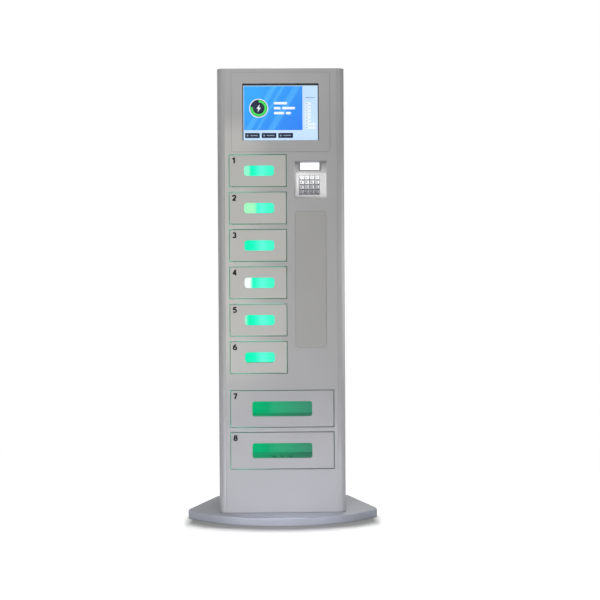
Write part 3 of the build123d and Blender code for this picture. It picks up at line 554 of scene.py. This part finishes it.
CARDS = dict.fromkeys(SMALL_DOORS, lit_card("polystyrene_card_mint", MINT, 1.05, "#FFFFFF"))
CARDS["door_2"] = lit_card("polystyrene_card_lime", MINT, 1.05, "#B6FFC4")
CARDS.update(dict.fromkeys(LARGE_DOORS, lit_card("polystyrene_card_green", GREEN, 0.95, "#FFFFFF")))
for name, material in CARDS.items():
    card = put_mesh("back_card_" + name, back_card(name), material, "cabinet")
    wall = card.modifiers.new("thickness", "SOLIDIFY")
    wall.thickness = CARD_T
    wall.offset = -1

# ---- Charging hubs ----
# A low moulded ABS box stands along the foot of each compartment's back, with three black nylon
# socket faces. The strip's green light from the left is painted on the box and the sockets as a glow.
HUB_D, HUB_H, HUB_R = 0.030, 0.028, 0.004
HUB_END = 0.012             # from the compartment's sides
HUB_NARROW = 0.88           # of its section, at its rounded ends
HUB_COLOUR = "#26302C"
HUB_GLOW, HUB_DIM, HUB_LIT = "#00A36A", "#2E7A5E", 0.82
HUB_LIT_FROM, HUB_LIT_TO = -0.12, 0.10
SOCKET_W, SOCKET_H, SOCKET_R, SOCKET_T = 0.014, 0.0075, 0.0012, 0.0004
SOCKET_EDGE = 0.0002
SOCKET_PITCH = 0.034
HUB_GRAIN, SOCKET_GRAIN = 0.00091, 0.00067


def rounded_outline(width, height, radius, steps=6):
    """Points of a rounded rectangle: four quarter arcs, each centred one radius in from a corner."""
    quarter = np.linspace(0, np.pi / 2, steps)
    turn = np.concatenate([quarter + k * np.pi / 2 for k in range(4)])
    side_x = np.repeat([1, -1, -1, 1], steps) * (width / 2 - radius)
    side_y = np.repeat([1, 1, -1, -1], steps) * (height / 2 - radius)
    return np.stack([side_x + radius * np.cos(turn), side_y + radius * np.sin(turn)], axis=1)


def plate(width, height, radius, thick, middle=(0.0, 0.0), base=0.0, edge=0.0):
    """Rings of a flat plate; edge rounds its front rim by two steps."""
    full = rounded_outline(width, height, radius)
    rings = [level_ring(full, base, middle), level_ring(full, base + thick - edge, middle)]
    if edge > 0:
        mid = rounded_outline(width - 0.6 * edge, height - 0.6 * edge, radius - 0.3 * edge)
        top = rounded_outline(width - 2 * edge, height - 2 * edge, max(radius - edge, radius / 4))
        rings += [level_ring(mid, base + thick - 0.3 * edge, middle), level_ring(top, base + thick, middle)]
    return rings


# painted glow: the strip's green light on the hub, strongest at the left
hub_abs, tree, spot = new_material("abs_hub_grey_painted_green_glow")
axes = node(tree, "SeparateXYZ", links={0: spot})
across = node(tree, "MapRange", values={"From Min": HUB_LIT_FROM, "From Max": HUB_LIT_TO},
              links={"Value": (axes, "X")})
glow = node(tree, "Mix", {"data_type": "RGBA"}, {6: HUB_GLOW, 7: HUB_DIM}, {"Factor": (across, 0)})
finish_material(tree, {"Base Color": HUB_COLOUR, "Roughness": 0.5, "Emission Strength": HUB_LIT},
                {"Normal": pores(tree, spot, HUB_GRAIN, 0.25), "Emission Color": (glow, 2)})
# the sockets' green glow is painted light
socket_black = grained("nylon_socket_black",
                       {"Base Color": "#121414", "Emission Color": "#1E7A58", "Emission Strength": 0.6},
                       "Roughness", SOCKET_GRAIN, 0.4, 0.6)
for name in DOORS:
    low, high = compartment(name)
    x0, x1 = low.x + HUB_END, high.x - HUB_END
    ends = [(x0, HUB_NARROW), (x0 + HUB_R / 2, 1.0), (x1 - HUB_R / 2, 1.0), (x1, HUB_NARROW)]
    outline = rounded_outline(HUB_D, HUB_H, HUB_R)
    middle_y = high.y - CARD_OFF - 2 * CARD_T - CARD_BOW - HUB_D / 2
    middle_z = low.z + HUB_H / 2
    mesh = stacked([[level_ring(outline * share, x) for x, share in ends]])
    put_mesh("charging_hub_" + name, mesh, hub_abs, "cabinet",
             (0, middle_y, middle_z), ((0, 1, 0), UP, (1, 0, 0)))
    mesh = stacked([plate(SOCKET_W, SOCKET_H, SOCKET_R, SOCKET_T, (n * SOCKET_PITCH, 0), 0, SOCKET_EDGE)
                    for n in (-1, 0, 1)])
    put_mesh("hub_sockets_" + name, mesh, socket_black, "cabinet",
             ((x0 + x1) / 2, middle_y - HUB_D / 2, middle_z))

# ---- Light strips ----
# Green LED strip in a dull moulded polycarbonate channel, which carries the strip's green light as a painted,
# cloudy glow. Its milky acrylic lens faces into the compartment and is lit evenly, with a slow beat from lamp
# to lamp.
LED_COLOUR, LENS_COLOUR = "#7DFFD0", "#DDF5EC"
LED_PITCH = 0.0167
LED_LOW, LED_HIGH = 1.3, 2.2          # glow between the lamps and over them
CHANNEL_COLOUR, CHANNEL_GLOW = "#6B8378", "#5AA584"
CHANNEL_GLOW_CLOUD = 0.0167
LENS_FROM = 0.0042          # the lens begins this far from the wall
led, tree, spot = new_material("acrylic_lens_lit")
axes = node(tree, "SeparateXYZ", links={0: spot})
beat = node(tree, "Math", {"operation": "MULTIPLY"}, {1: 2 * math.pi / LED_PITCH}, {0: (axes, "Z")})
wave = node(tree, "Math", {"operation": "SINE"}, links={0: (beat, 0)})
power = node(tree, "MapRange", values={"From Min": -1.0, "To Min": LED_LOW, "To Max": LED_HIGH},
             links={"Value": (wave, 0)})
finish_material(tree, {"Base Color": LENS_COLOUR, "Roughness": 0.4,
                       "Emission Color": LED_COLOUR},
                {"Emission Strength": (power, 0)})
# the channel's green glow is painted light, in clouds
channel = grained("polycarbonate_channel",
                  {"Base Color": CHANNEL_COLOUR, "Emission Color": CHANNEL_GLOW, "Roughness": 0.6},
                  "Emission Strength", CHANNEL_GLOW_CLOUD, 0.35, 0.6)
dress(["led_strips"], channel)
dress_part("led_strips", led, face_middles("led_strips")[:, 0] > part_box("led_strips")[0].x + LENS_FROM)

# ---- Window panes ----
# Clear cast acrylic sheet with an anti-glare coat and the faintest green edge tint, seated behind
# each door's window.
PANE_HAZE = 0.0167
acrylic = grained("acrylic_clear", {"Base Color": "#F2FFFA", "IOR": 1.12, "Transmission Weight": 1.0},
                  "Roughness", PANE_HAZE, 0.02, 0.09, 3.0)
dress([name for name in frame["nodes"] if name.startswith("window_pane_")], acrylic)

# ---- Locks, pins and brackets ----
# Zinc-plated steel pressings and turned pins, pale and slightly blue with fine drawn lines, and
# lock bodies of black-oxide steel.
LINE_LENGTH = 0.0833        # of the drawn lines, m
LINE_DARK = 0.8             # of the metal's colour, in the darker lines
LINE_RUB = 0.08             # how far the lines change the roughness


def drawn_metal(name, colour, rough, line_size, darker_fades=()):
    """Metal with fine drawn lines, in tone and in roughness, from stretched noise. Each entry of the last
    argument holds a darker colour, a way, and how far along that way it is full and how far it has gone."""
    made, tree, spot = new_material(name)
    stretch = node(tree, "Mapping", values={"Scale": (1 / line_size, 1 / line_size, 1 / LINE_LENGTH)},
                   links={"Vector": spot})
    lines = node(tree, "TexNoise", values={"Scale": 1.0}, links={"Vector": (stretch, 0)})
    darker = tuple(LINE_DARK * c for c in linear(colour)[:3]) + (1,)
    tone = node(tree, "Mix", {"data_type": "RGBA"}, {6: darker, 7: colour}, {"Factor": (lines, "Fac")})
    for darker_colour, way, full, gone in darker_fades:
        along = node(tree, "VectorMath", {"operation": "DOT_PRODUCT"}, {1: way}, {0: spot})
        undarkened = node(tree, "MapRange", values={"From Min": full, "From Max": gone},
                     links={"Value": (along, "Value")})
        tone = node(tree, "Mix", {"data_type": "RGBA"}, {6: darker_colour}, {"Factor": (undarkened, 0), 7: (tone, 2)})
    rub = node(tree, "MapRange", values={"To Min": rough - LINE_RUB, "To Max": rough + LINE_RUB},
               links={"Value": (lines, "Fac")})
    finish_material(tree, {"Metallic": 1.0}, {"Base Color": (tone, 2), "Roughness": (rub, 0)})
    return made


bolts = [name for name in frame["nodes"] if name.startswith("lock_bolt_")]
dress(["door_hinges", "monitor_brackets"] + bolts, drawn_metal("zinc_plated_steel", "#B9BBC0", 0.35, 0.0008))
dress(["lock_bodies"], drawn_metal("black_oxide_steel", "#4A4C50", 0.45, 0.001))

# ---- Screen ----
# Flat 15 inch panel in a black moulded frame, behind coated, toughened touch glass with ground edges
# and a black border printed on its back. The bare frame shows a little more at the top.
ABS_GRAIN = 0.00083
GLASS_T = 0.0022
GLASS_EDGE = 0.0006
GLASS_R = 0.003
GLASS_SMEAR = 0.0714
PAGE_W, PAGE_H = 0.2925, 0.2150
PAGE_DOWN = 0.0034          # middle of the lit page below the middle of the glass
BORDER_T = 0.00005
BORDER_BACK = 0.00010
INK_GRAIN = 0.002
low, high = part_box("touch_glass")
GLASS_MIDDLE = Vector(((low.x + high.x) / 2, low.y + GLASS_T, (low.z + high.z) / 2))


def border(outer, inner, thick, base=0.0, shift=(0, 0)):
    """Flat frame: up the outer outline, in to the shifted inner one, and down that."""
    top = base + thick
    rings = [level_ring(outer, base), level_ring(outer, top), level_ring(inner, top, shift),
             level_ring(inner, base, shift)]
    return stacked([rings], hollow=True)


monitor_black, tree, spot = new_material("abs_black")
finish_material(tree, {"Base Color": "#0D0D0F", "Roughness": 0.55},
                {"Normal": pores(tree, spot, ABS_GRAIN, 0.3)})
dress(["monitor"], monitor_black)

glass = grained("toughened_touch_glass", {"Base Color": "#FFFFFF", "IOR": 1.2, "Transmission Weight": 1.0},
                "Roughness", GLASS_SMEAR, 0.0, 0.06, 4.0)
width, height = high.x - low.x, high.z - low.z
mesh = stacked([plate(width, height, GLASS_R, GLASS_T, edge=GLASS_EDGE)])
pane = put_mesh("touch_glass_ground", mesh, glass, "cabinet", GLASS_MIDDLE)
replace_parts(pane, "touch_glass")

border_ink = grained("ceramic_ink_black", {"Base Color": "#0A0B0E"}, "Roughness", INK_GRAIN, 0.5, 0.65)
outer = rounded_outline(width - GLASS_EDGE, height - GLASS_EDGE, GLASS_R)
inner = rounded_outline(PAGE_W, PAGE_H, GLASS_R / 4)
mesh = border(outer, inner, BORDER_T, -BORDER_BACK, (0, -PAGE_DOWN))
put_mesh("glass_border", mesh, border_ink, "cabinet", GLASS_MIDDLE)

# ---- Screen page ----
# The lit liquid crystal picture is a plain layout of its own, in stacked films: a pale ground with a
# map of the doors on the right, a blue field with slanting bands, a charge dial and bars that stand
# for words, and three dark buttons below it.
FILM_T = 0.00004
FILM_STEP = 0.00006
GROUND_BACK = 0.00066       # ground film behind the glass
BACKLIGHT_CLOUD, BACKLIGHT_LOW, BACKLIGHT_HIGH = 0.0833, 0.98, 1.10
FLOW = 0.2                  # colours change over twice this on the page's diagonal
COLUMN = 0.060              # width of the pale column
STRIP = 0.040               # height of the pale strip below the field
FIELD_EDGE = 0.0022
GROUND_R, FIELD_R = 0.0003, 0.0008
BANDS = ((0.02, 0.10), (0.20, 0.05), (0.40, 0.12))    # start and width, of the field's width
BAND_LEAN = 0.6             # of the field's height
WORD_H, WORD_LINE, WORD_GAP = 0.0095, 0.0195, 0.007
WORDS_OFF = 0.026           # from the dial
WORD_ROWS = ((0.052,), (0.026, 0.050), (0.040, 0.020))
DIAL_IN = 0.058             # from the field's left side
DIAL_R, DIAL_RIM = 0.034, 0.003
CHARGE_IN, CHARGE_BAND = 0.002, 0.0090    # of the charge's arc: in from the dial's edge, and its width
CHARGE_STOP = -1.05 * np.pi
FLASH = ((0.3, 1.0), (-0.55, -0.12), (-0.05, -0.12), (-0.3, -1.0), (0.55, 0.15), (0.05, 0.15))
FLASH_SIZE = 0.016
BUTTON_W, BUTTON_H, BUTTON_R, BUTTON_PITCH = 0.058, 0.0200, 0.0022, 0.0655
BUTTONS_DOWN = 0.001        # below the middle of the strip
BAR_H, BAR_R = 0.0028, 0.0013
# Bar and dot on each button: how far right of its middle, width, height and corner radius.
BUTTON_MARKS = ((0.006, 0.030, BAR_H, BAR_R), (-0.019, 0.0065, 0.0065, 0.0031))
TILE_H, TILE_R, TILE_PITCH, TILE_TOP = 0.0095, 0.0015, 0.0135, 0.036
TILES = ((-0.009, 0.024),) * 6 + ((0, 0.042),) * 2    # how far right in the column, and width
MARK_RIGHT, MARK_W = -0.014, 0.008
HEADING = (0.060, 0.036, 0.0036, 0.0017)  # how far up, width, height and corner radius


def lit_film(name, colour, second):
    """Backlit pixels: two colours flow into each other along the page's diagonal, with the
    backlight's slow unevenness."""
    made, tree, spot = new_material(name)
    axes = node(tree, "SeparateXYZ", links={0: spot})
    along = node(tree, "Math", {"operation": "SUBTRACT"}, links={0: (axes, "X"), 1: (axes, "Z")})
    part = node(tree, "MapRange",
                values={"From Min": -GLASS_MIDDLE.z - FLOW, "From Max": -GLASS_MIDDLE.z + FLOW},
                links={"Value": (along, 0)})
    hue = node(tree, "Mix", {"data_type": "RGBA"}, {6: colour, 7: second}, {"Factor": (part, 0)})
    finish_material(tree, {"Base Color": "#060708", "Roughness": 0.5, "Specular IOR Level": 0.1},
                    {"Emission Color": (hue, 2),
                     "Emission Strength": speckle(tree, spot, BACKLIGHT_CLOUD, BACKLIGHT_LOW,
                                                  BACKLIGHT_HIGH)})
    return made


def film(name, stacks, material, layer):
    """Puts flat plates drawn round the page's middle on a layer behind the glass."""
    put_mesh(name, stacked(stacks), material, "cabinet",
             GLASS_MIDDLE + Vector((0, GROUND_BACK - layer * FILM_STEP, -PAGE_DOWN)))


def flat_shape(points):
    """Two rings of one outline, a film apart."""
    outline = np.asarray(points)
    return [level_ring(outline, 0), level_ring(outline, FILM_T)]


def tile(x, y, width, height, radius):
    """Rings of a rounded rectangle, a film thick, round x, y."""
    return plate(width, height, radius, FILM_T, (x, y))


def disc(radius):
    """Rings of a round film on the dial's middle."""
    turn = np.linspace(0, 2 * np.pi, 49)[:-1]
    return flat_shape(np.stack([np.cos(turn), np.sin(turn)], axis=1) * radius + dial)


def arc_band(radius, band, start, stop, steps=40):
    """Outline of a band along an arc: out along the outer radius and back along the inner one."""
    turn = np.linspace(start, stop, steps)
    round_arc = np.stack([np.cos(turn), np.sin(turn)], axis=1)
    return np.concatenate([round_arc * radius, round_arc[::-1] * (radius - band)])


pale = lit_film("lcd_pale_blue", "#BCDBFF", "#C6E2FF")
blue = lit_film("lcd_blue", "#2CA6F8", "#2274F0")
light_blue = lit_film("lcd_light_blue", "#46B6FC", "#3C92F6")
white_pixels = lit_film("lcd_white", "#F4FAFF", "#E6F2FF")
navy = lit_film("lcd_navy", "#1B2440", "#161D36")
green_pixels = lit_film("lcd_green", "#3FE05A", "#35C94C")
grey_pixels = lit_film("lcd_grey", "#93A9C2", "#8AA2BD")

film("page_ground", [tile(0, 0, PAGE_W, PAGE_H, GROUND_R)], pale, 0)
field_x0, field_x1 = -PAGE_W / 2 + FIELD_EDGE, PAGE_W / 2 - COLUMN
field_y0, field_y1 = -PAGE_H / 2 + STRIP, PAGE_H / 2 - FIELD_EDGE
field_w, field_h = field_x1 - field_x0, field_y1 - field_y0
field_y = (field_y0 + field_y1) / 2
film("page_field", [tile((field_x0 + field_x1) / 2, field_y, field_w, field_h, FIELD_R)], blue, 1)

lean = BAND_LEAN * field_h
bands = []
for start, wide in BANDS:
    x0, x1 = field_x0 + start * field_w, field_x0 + (start + wide) * field_w
    bands.append(flat_shape([(x0, field_y0), (x1, field_y0), (x1 + lean, field_y1), (x0 + lean, field_y1)]))
film("page_bands", bands, light_blue, 2)

dial = np.array((field_x0 + DIAL_IN, field_y))
words = []
for row, lengths in enumerate(WORD_ROWS):
    x = dial[0] + DIAL_R + WORDS_OFF
    for length in lengths:
        words.append(tile(x + length / 2, field_y + (1 - row) * WORD_LINE, length, WORD_H, WORD_H / 3))
        x += length + WORD_GAP
film("page_words", words, white_pixels, 3)
film("dial_rim", [disc(DIAL_R + DIAL_RIM)], white_pixels, 3)
film("dial_face", [disc(DIAL_R)], navy, 4)
charge = arc_band(DIAL_R - CHARGE_IN, CHARGE_BAND, np.pi / 2, CHARGE_STOP)[::-1]
film("dial_charge", [flat_shape(charge + dial)], green_pixels, 5)
film("dial_flash", [flat_shape(np.array(FLASH) * FLASH_SIZE + dial)], white_pixels, 5)

strip_y = -PAGE_H / 2 + STRIP / 2 - BUTTONS_DOWN
button_x = [field_x0 + BUTTON_PITCH * (n + 0.5) for n in range(3)]
film("page_buttons", [tile(x, strip_y, BUTTON_W, BUTTON_H, BUTTON_R) for x in button_x], navy, 1)
marks = [tile(x + right, strip_y, *size) for right, *size in BUTTON_MARKS for x in button_x]
film("button_words", marks, grey_pixels, 2)

column_x = PAGE_W / 2 - COLUMN / 2
tile_y = [TILE_TOP - n * TILE_PITCH for n in range(len(TILES))]
tiles = [tile(column_x + right, y, width, TILE_H, TILE_R) for y, (right, width) in zip(tile_y, TILES)]
film("column_tiles", tiles, white_pixels, 1)
film("column_marks", [tile(column_x + MARK_RIGHT, y, MARK_W, BAR_H, BAR_R) for y in tile_y], grey_pixels, 2)
film("column_heading", [tile(column_x, *HEADING)], grey_pixels, 1)

# ---- Keypad housing ----
# Zinc die casting with a satin chrome finish, bright where it catches the studio, with painted shade that
# is darkest at its top and gone by the display's foot, and darker towards the lower left. A grey rubber mat
# lies in the pocket under the keys.
DARKER_LEAN, DARKER_REACH = 0.5, 0.092
housing_low, housing_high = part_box("keypad_housing")
darker_full = housing_low.z + DARKER_LEAN * housing_low.x
# painted shade: darkest at the housing's top, gone by the display's foot
PAINTED_RECESS_SHADE = ("#6C6C71", (0, 0, 1), housing_high.z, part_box("keypad_display")[0].z)
# darker towards the lower left
LOWER_LEFT_DARKER = ("#707072", (DARKER_LEAN, 0, 1), darker_full, darker_full + DARKER_REACH)
dress(["keypad_housing"], drawn_metal("satin_chrome_casting", "#B9B9B9", 0.34, 0.0015, (PAINTED_RECESS_SHADE, LOWER_LEFT_DARKER)))
KEYS = [name for name in sorted(frame["nodes"]) if name.startswith("key_")]
CAP_T = 0.0035              # height of a key's cap
CAP_LIFT = -0.0001          # foot of the caps above the sloping plate
POCKET_D = 0.0015
MAT_T = 0.0002
MAT_EDGE = 0.0017           # mat beyond the outer keys
MAT_R = 0.002
RUBBER_GRAIN = 0.00071
press = next(joint for joint in frame["joints"] if joint["name"] == KEYS[0] + "_press")
SLOPE_OUT = -Vector(press["axis"])
SLOPE_UP = SLOPE_OUT.cross(RIGHT)
SLOPE = RIGHT, SLOPE_UP, SLOPE_OUT


def reach_of(name, direction):
    """Lowest and highest reach of a CAD node along a direction."""
    mesh = frame["nodes"][name].data
    points = np.empty(len(mesh.vertices) * 3)
    mesh.vertices.foreach_get("co", points)
    along = points.reshape(-1, 3) @ np.array(direction)
    return along.min(), along.max()


slope_level = reach_of(KEYS[0], SLOPE_OUT)[1] - CAP_T - CAP_LIFT
x0, x1 = reach_of(KEYS[0], RIGHT)[0], reach_of(KEYS[-1], RIGHT)[1]
y0, y1 = reach_of(KEYS[-1], SLOPE_UP)[0], reach_of(KEYS[0], SLOPE_UP)[1]
rubber = grained("silicone_rubber_grey", {"Base Color": "#C2C4C8"}, "Roughness", RUBBER_GRAIN, 0.6, 0.8)
mesh = stacked([plate(x1 - x0 + 2 * MAT_EDGE, y1 - y0 + 2 * MAT_EDGE, MAT_R, MAT_T)])
put_mesh("key_mat", mesh, rubber, "cabinet",
         RIGHT * ((x0 + x1) / 2) + SLOPE_UP * ((y0 + y1) / 2) + SLOPE_OUT * (slope_level - POCKET_D), SLOPE)

# ---- Keys ----
# Sixteen die-cast keys, brushed and nickel plated, darker towards the lower rows by a painted
# reflection that lights only the upper rows, with rounded rims, a slight dish for the fingertip and a filled
# dark figure or sign.
KEY_R = 0.002
KEY_ROUND = 0.0008
DISH_EDGE, DISH_IN, DISH_D = 0.0006, 0.0040, 0.00025
STEM_SIZE, STEM_R = 0.008, 0.0004
LEGEND_H = 0.0062
LEGEND_T = 0.0001
ENAMEL_GRAIN = 0.00125
SIGNS = {
    "back": [[(0.62, -0.2), (0.14, -0.5)], [(0.14, -0.5), (0.62, -0.8)]],
    "on": [[(0.14, -0.2), (0.62, -0.5)], [(0.62, -0.5), (0.14, -0.8)]],
    "cross": [[(0.1, -0.2), (0.66, -0.8)], [(0.66, -0.2), (0.1, -0.8)]],
    "bars": [[(0.06, -0.36), (0.68, -0.36)], [(0.06, -0.68), (0.68, -0.68)]],
    "star": [[(0.36, -0.2), (0.36, -0.8)], [(0.1, -0.35), (0.62, -0.65)], [(0.62, -0.35), (0.1, -0.65)]],
    "hash": [[(0.24, -0.1), (0.24, -0.9)], [(0.52, -0.1), (0.52, -0.9)], [(0.04, -0.34), (0.72, -0.34)],
             [(0.04, -0.68), (0.72, -0.68)]]}
LEGENDS = ["1", "2", "3", "back", "4", "5", "6", "on", "7", "8", "9", "cross", "star", "0", "hash", "bars"]
# painted reflection: the keys darken from the top row down to the lowest
KEY_PAINTED_REFLECTION = ("#5C5C60", (0, 0, 1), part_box(KEYS[-1])[0].z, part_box(KEYS[0])[1].z)
key_steel = drawn_metal("brushed_nickel_plate", "#D6D6D8", 0.30, 0.0004, (KEY_PAINTED_REFLECTION,))
legend_fill = grained("enamel_fill_dark", {"Base Color": "#202226"}, "Roughness", ENAMEL_GRAIN, 0.3, 0.45)


def key_rings(size):
    """Cap rings from the foot up: straight sides, a quarter-round rim, then the sunken dish."""
    turn = np.linspace(0, np.pi / 2, 4)
    insets = list(KEY_ROUND * (1 - np.cos(turn))) + [KEY_ROUND + DISH_EDGE, DISH_IN]
    heights = list(CAP_T - KEY_ROUND * (1 - np.sin(turn))) + [CAP_T, CAP_T - DISH_D]
    rings = [level_ring(rounded_outline(size, size, KEY_R), 0)]
    for inset, height in zip(insets, heights):
        side = size - 2 * inset
        rings.append(level_ring(rounded_outline(side, side, max(KEY_R - inset, DISH_EDGE)), height))
    return rings


for name, legend in zip(KEYS, LEGENDS):
    right, up = reach_of(name, RIGHT), reach_of(name, SLOPE_UP)
    low, high = reach_of(name, SLOPE_OUT)
    foot = RIGHT * (sum(right) / 2) + SLOPE_UP * (sum(up) / 2) + SLOPE_OUT * (high - CAP_T)
    stem = plate(STEM_SIZE, STEM_SIZE, STEM_R, high - CAP_T - low, base=low - high + CAP_T)
    mesh = stacked([key_rings(right[1] - right[0]), stem])
    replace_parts(put_mesh("cap_" + name, mesh, key_steel, name, foot, SLOPE), name)
    mesh = strokes({**FIGURES, **SIGNS}[legend], LEGEND_H, LEGEND_T)
    corner = foot + SLOPE_OUT * (CAP_T - DISH_D) + (SLOPE_UP - FIGURE_W * RIGHT) * (LEGEND_H / 2)
    put_mesh("legend_" + name, mesh, legend_fill, name, corner, SLOPE)

# ---- Keypad display ----
# White-lit character display behind a grey moulded ABS mask that fills the back of the recess.
# The mask is clipped over the display's rim.
DISPLAY_W, DISPLAY_H, DISPLAY_R, DISPLAY_UP = 0.0750, 0.0275, 0.0008, 0.0010
CELLS = 0.0111
MASK_OUT, MASK_R, MASK_T = 0.0060, 0.0015, 0.0008
MASK_LIFT = 0.00005
display = grained("display_backlit", {"Base Color": "#DDE6EC", "Roughness": 0.2, "Emission Color": "#F6FAFF"},
                  "Emission Strength", CELLS, 1.1, 1.3)
dress(["keypad_display"], display)
mask_grey, tree, spot = new_material("abs_grey")
finish_material(tree, {"Base Color": "#9A999D", "Roughness": 0.5},
                {"Normal": pores(tree, spot, ABS_GRAIN, 0.3)})
low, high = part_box("keypad_display")
outer = rounded_outline(high.x - low.x + 2 * MASK_OUT, high.z - low.z + MASK_OUT / 2, MASK_R)
inner = rounded_outline(DISPLAY_W, DISPLAY_H, DISPLAY_R)
mesh = border(outer, inner, MASK_T, shift=(0, DISPLAY_UP))
put_mesh("display_mask", mesh, mask_grey, "cabinet",
         ((low.x + high.x) / 2, low.y - MASK_LIFT, (low.z + high.z) / 2))

# ---- Key lock and mains inlet ----
# Chromed key barrel in the service door, and a black moulded ABS inlet with brass prongs, held by
# two domed, black zinc-plated socket screws.
SCREW_R, SCREW_H = 0.0026, 0.0010
SCREW_SPAN = 0.0195         # from the inlet's middle
# Share of the screw's radius and of its height, from the rim to the bottom of the well.
SCREW_STEPS = ((1.0, 0.0), (1.0, 0.3), (0.92, 0.62), (0.75, 0.88), (0.5, 1.0), (0.45, 0.35))
PRONGS_X, PRONGS_Z = 0.008, 0.007     # the prongs lie within these of the inlet's middle
PRONGS_FROM, PRONGS_TO = 0.004, 0.0195    # and between these depths in it
dress(["rear_door_lock"], drawn_metal("chrome_plate", "#DADADC", 0.12, 0.002))
dress(["power_inlet"], monitor_black)
low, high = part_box("power_inlet")
middle = (low + high) / 2
offsets = np.abs(face_middles("power_inlet") - np.array(middle))
depth = high.y - face_middles("power_inlet")[:, 1]
prongs = (offsets[:, 0] < PRONGS_X) & (offsets[:, 2] < PRONGS_Z) & (depth > PRONGS_FROM) & (depth < PRONGS_TO)
dress_part("power_inlet", drawn_metal("brass", "#D8B56A", 0.25, 0.001), prongs)


def screw_rings(side):
    """Dome with a well for a hexagon key: rings of growing height and shrinking radius up to the
    crown, then down the well."""
    turn = np.linspace(0, 2 * np.pi, 25)[:-1]
    circle = np.stack([np.cos(turn), np.sin(turn)], axis=1) * SCREW_R
    return [level_ring(circle * share, SCREW_H * rise, (side * SCREW_SPAN, 0)) for share, rise in SCREW_STEPS]


put_mesh("inlet_screws", stacked([screw_rings(side) for side in (-1, 1)]),
         drawn_metal("black_zinc_screw", "#5A5C60", 0.35, 0.0006), "cabinet",
         (middle.x, high.y - SCREW_H, middle.z), ((-1, 0, 0), UP, (0, 1, 0)))

# ---- Electronics ----
# Power supply in an aluminium case, and a green relay board on brass posts, with black relays and
# a row of blue screw terminals.
BOARD_DARK, BOARD_LIGHT = "#245A3C", "#2F7050"
TRACE_SIZE = 0.00625
POSTS_TO, RELAYS_FROM = 0.0079, 0.0100    # from the wall that the board is fixed to
TERMINAL_W, TERMINAL_H, TERMINAL_R, TERMINAL_T = 0.0085, 0.0085, 0.0006, 0.009
TERMINAL_PITCH, TERMINALS = 0.010, 15
TERMINALS_AT = (0.0096, 0.020, 0.170)     # of the first: out from that wall, in from the back, down
NYLON_GRAIN = 0.00077
low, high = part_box("electronics")
middles = face_middles("electronics")
board_green, tree, spot = new_material("solder_mask_green")
traces = node(tree, "TexVoronoi", values={"Scale": 1 / TRACE_SIZE}, links={"Vector": spot})
tone = node(tree, "Mix", {"data_type": "RGBA"}, {6: BOARD_DARK, 7: BOARD_LIGHT},
            {"Factor": (traces, "Distance")})
finish_material(tree, {"Roughness": 0.35}, {"Base Color": (tone, 2)})
dress(["electronics"], board_green)
on_board = middles[:, 2] > (low.z + high.z) / 2
off_wall = middles[:, 0] - low.x
dress_part("electronics", drawn_metal("brushed_aluminium", "#C9CACC", 0.4, 0.0009), ~on_board)
dress_part("electronics", monitor_black, on_board & (off_wall > RELAYS_FROM))
dress_part("electronics", drawn_metal("brass_post", "#CFAE66", 0.3, 0.001), on_board & (off_wall < POSTS_TO))
terminal_blue, tree, spot = new_material("polyamide_blue")
finish_material(tree, {"Base Color": "#2C5FA8", "Roughness": 0.45},
                {"Normal": pores(tree, spot, NYLON_GRAIN, 0.25)})
mesh = stacked([plate(TERMINAL_W, TERMINAL_H, TERMINAL_R, TERMINAL_T, (0, n * TERMINAL_PITCH),
                      edge=TERMINAL_R) for n in range(TERMINALS)])
put_mesh("board_terminals", mesh, terminal_blue, "cabinet",
         (low.x + TERMINALS_AT[0], high.y - TERMINALS_AT[1], high.z - TERMINALS_AT[2]),
         ((0, 1, 0), UP, (1, 0, 0)))
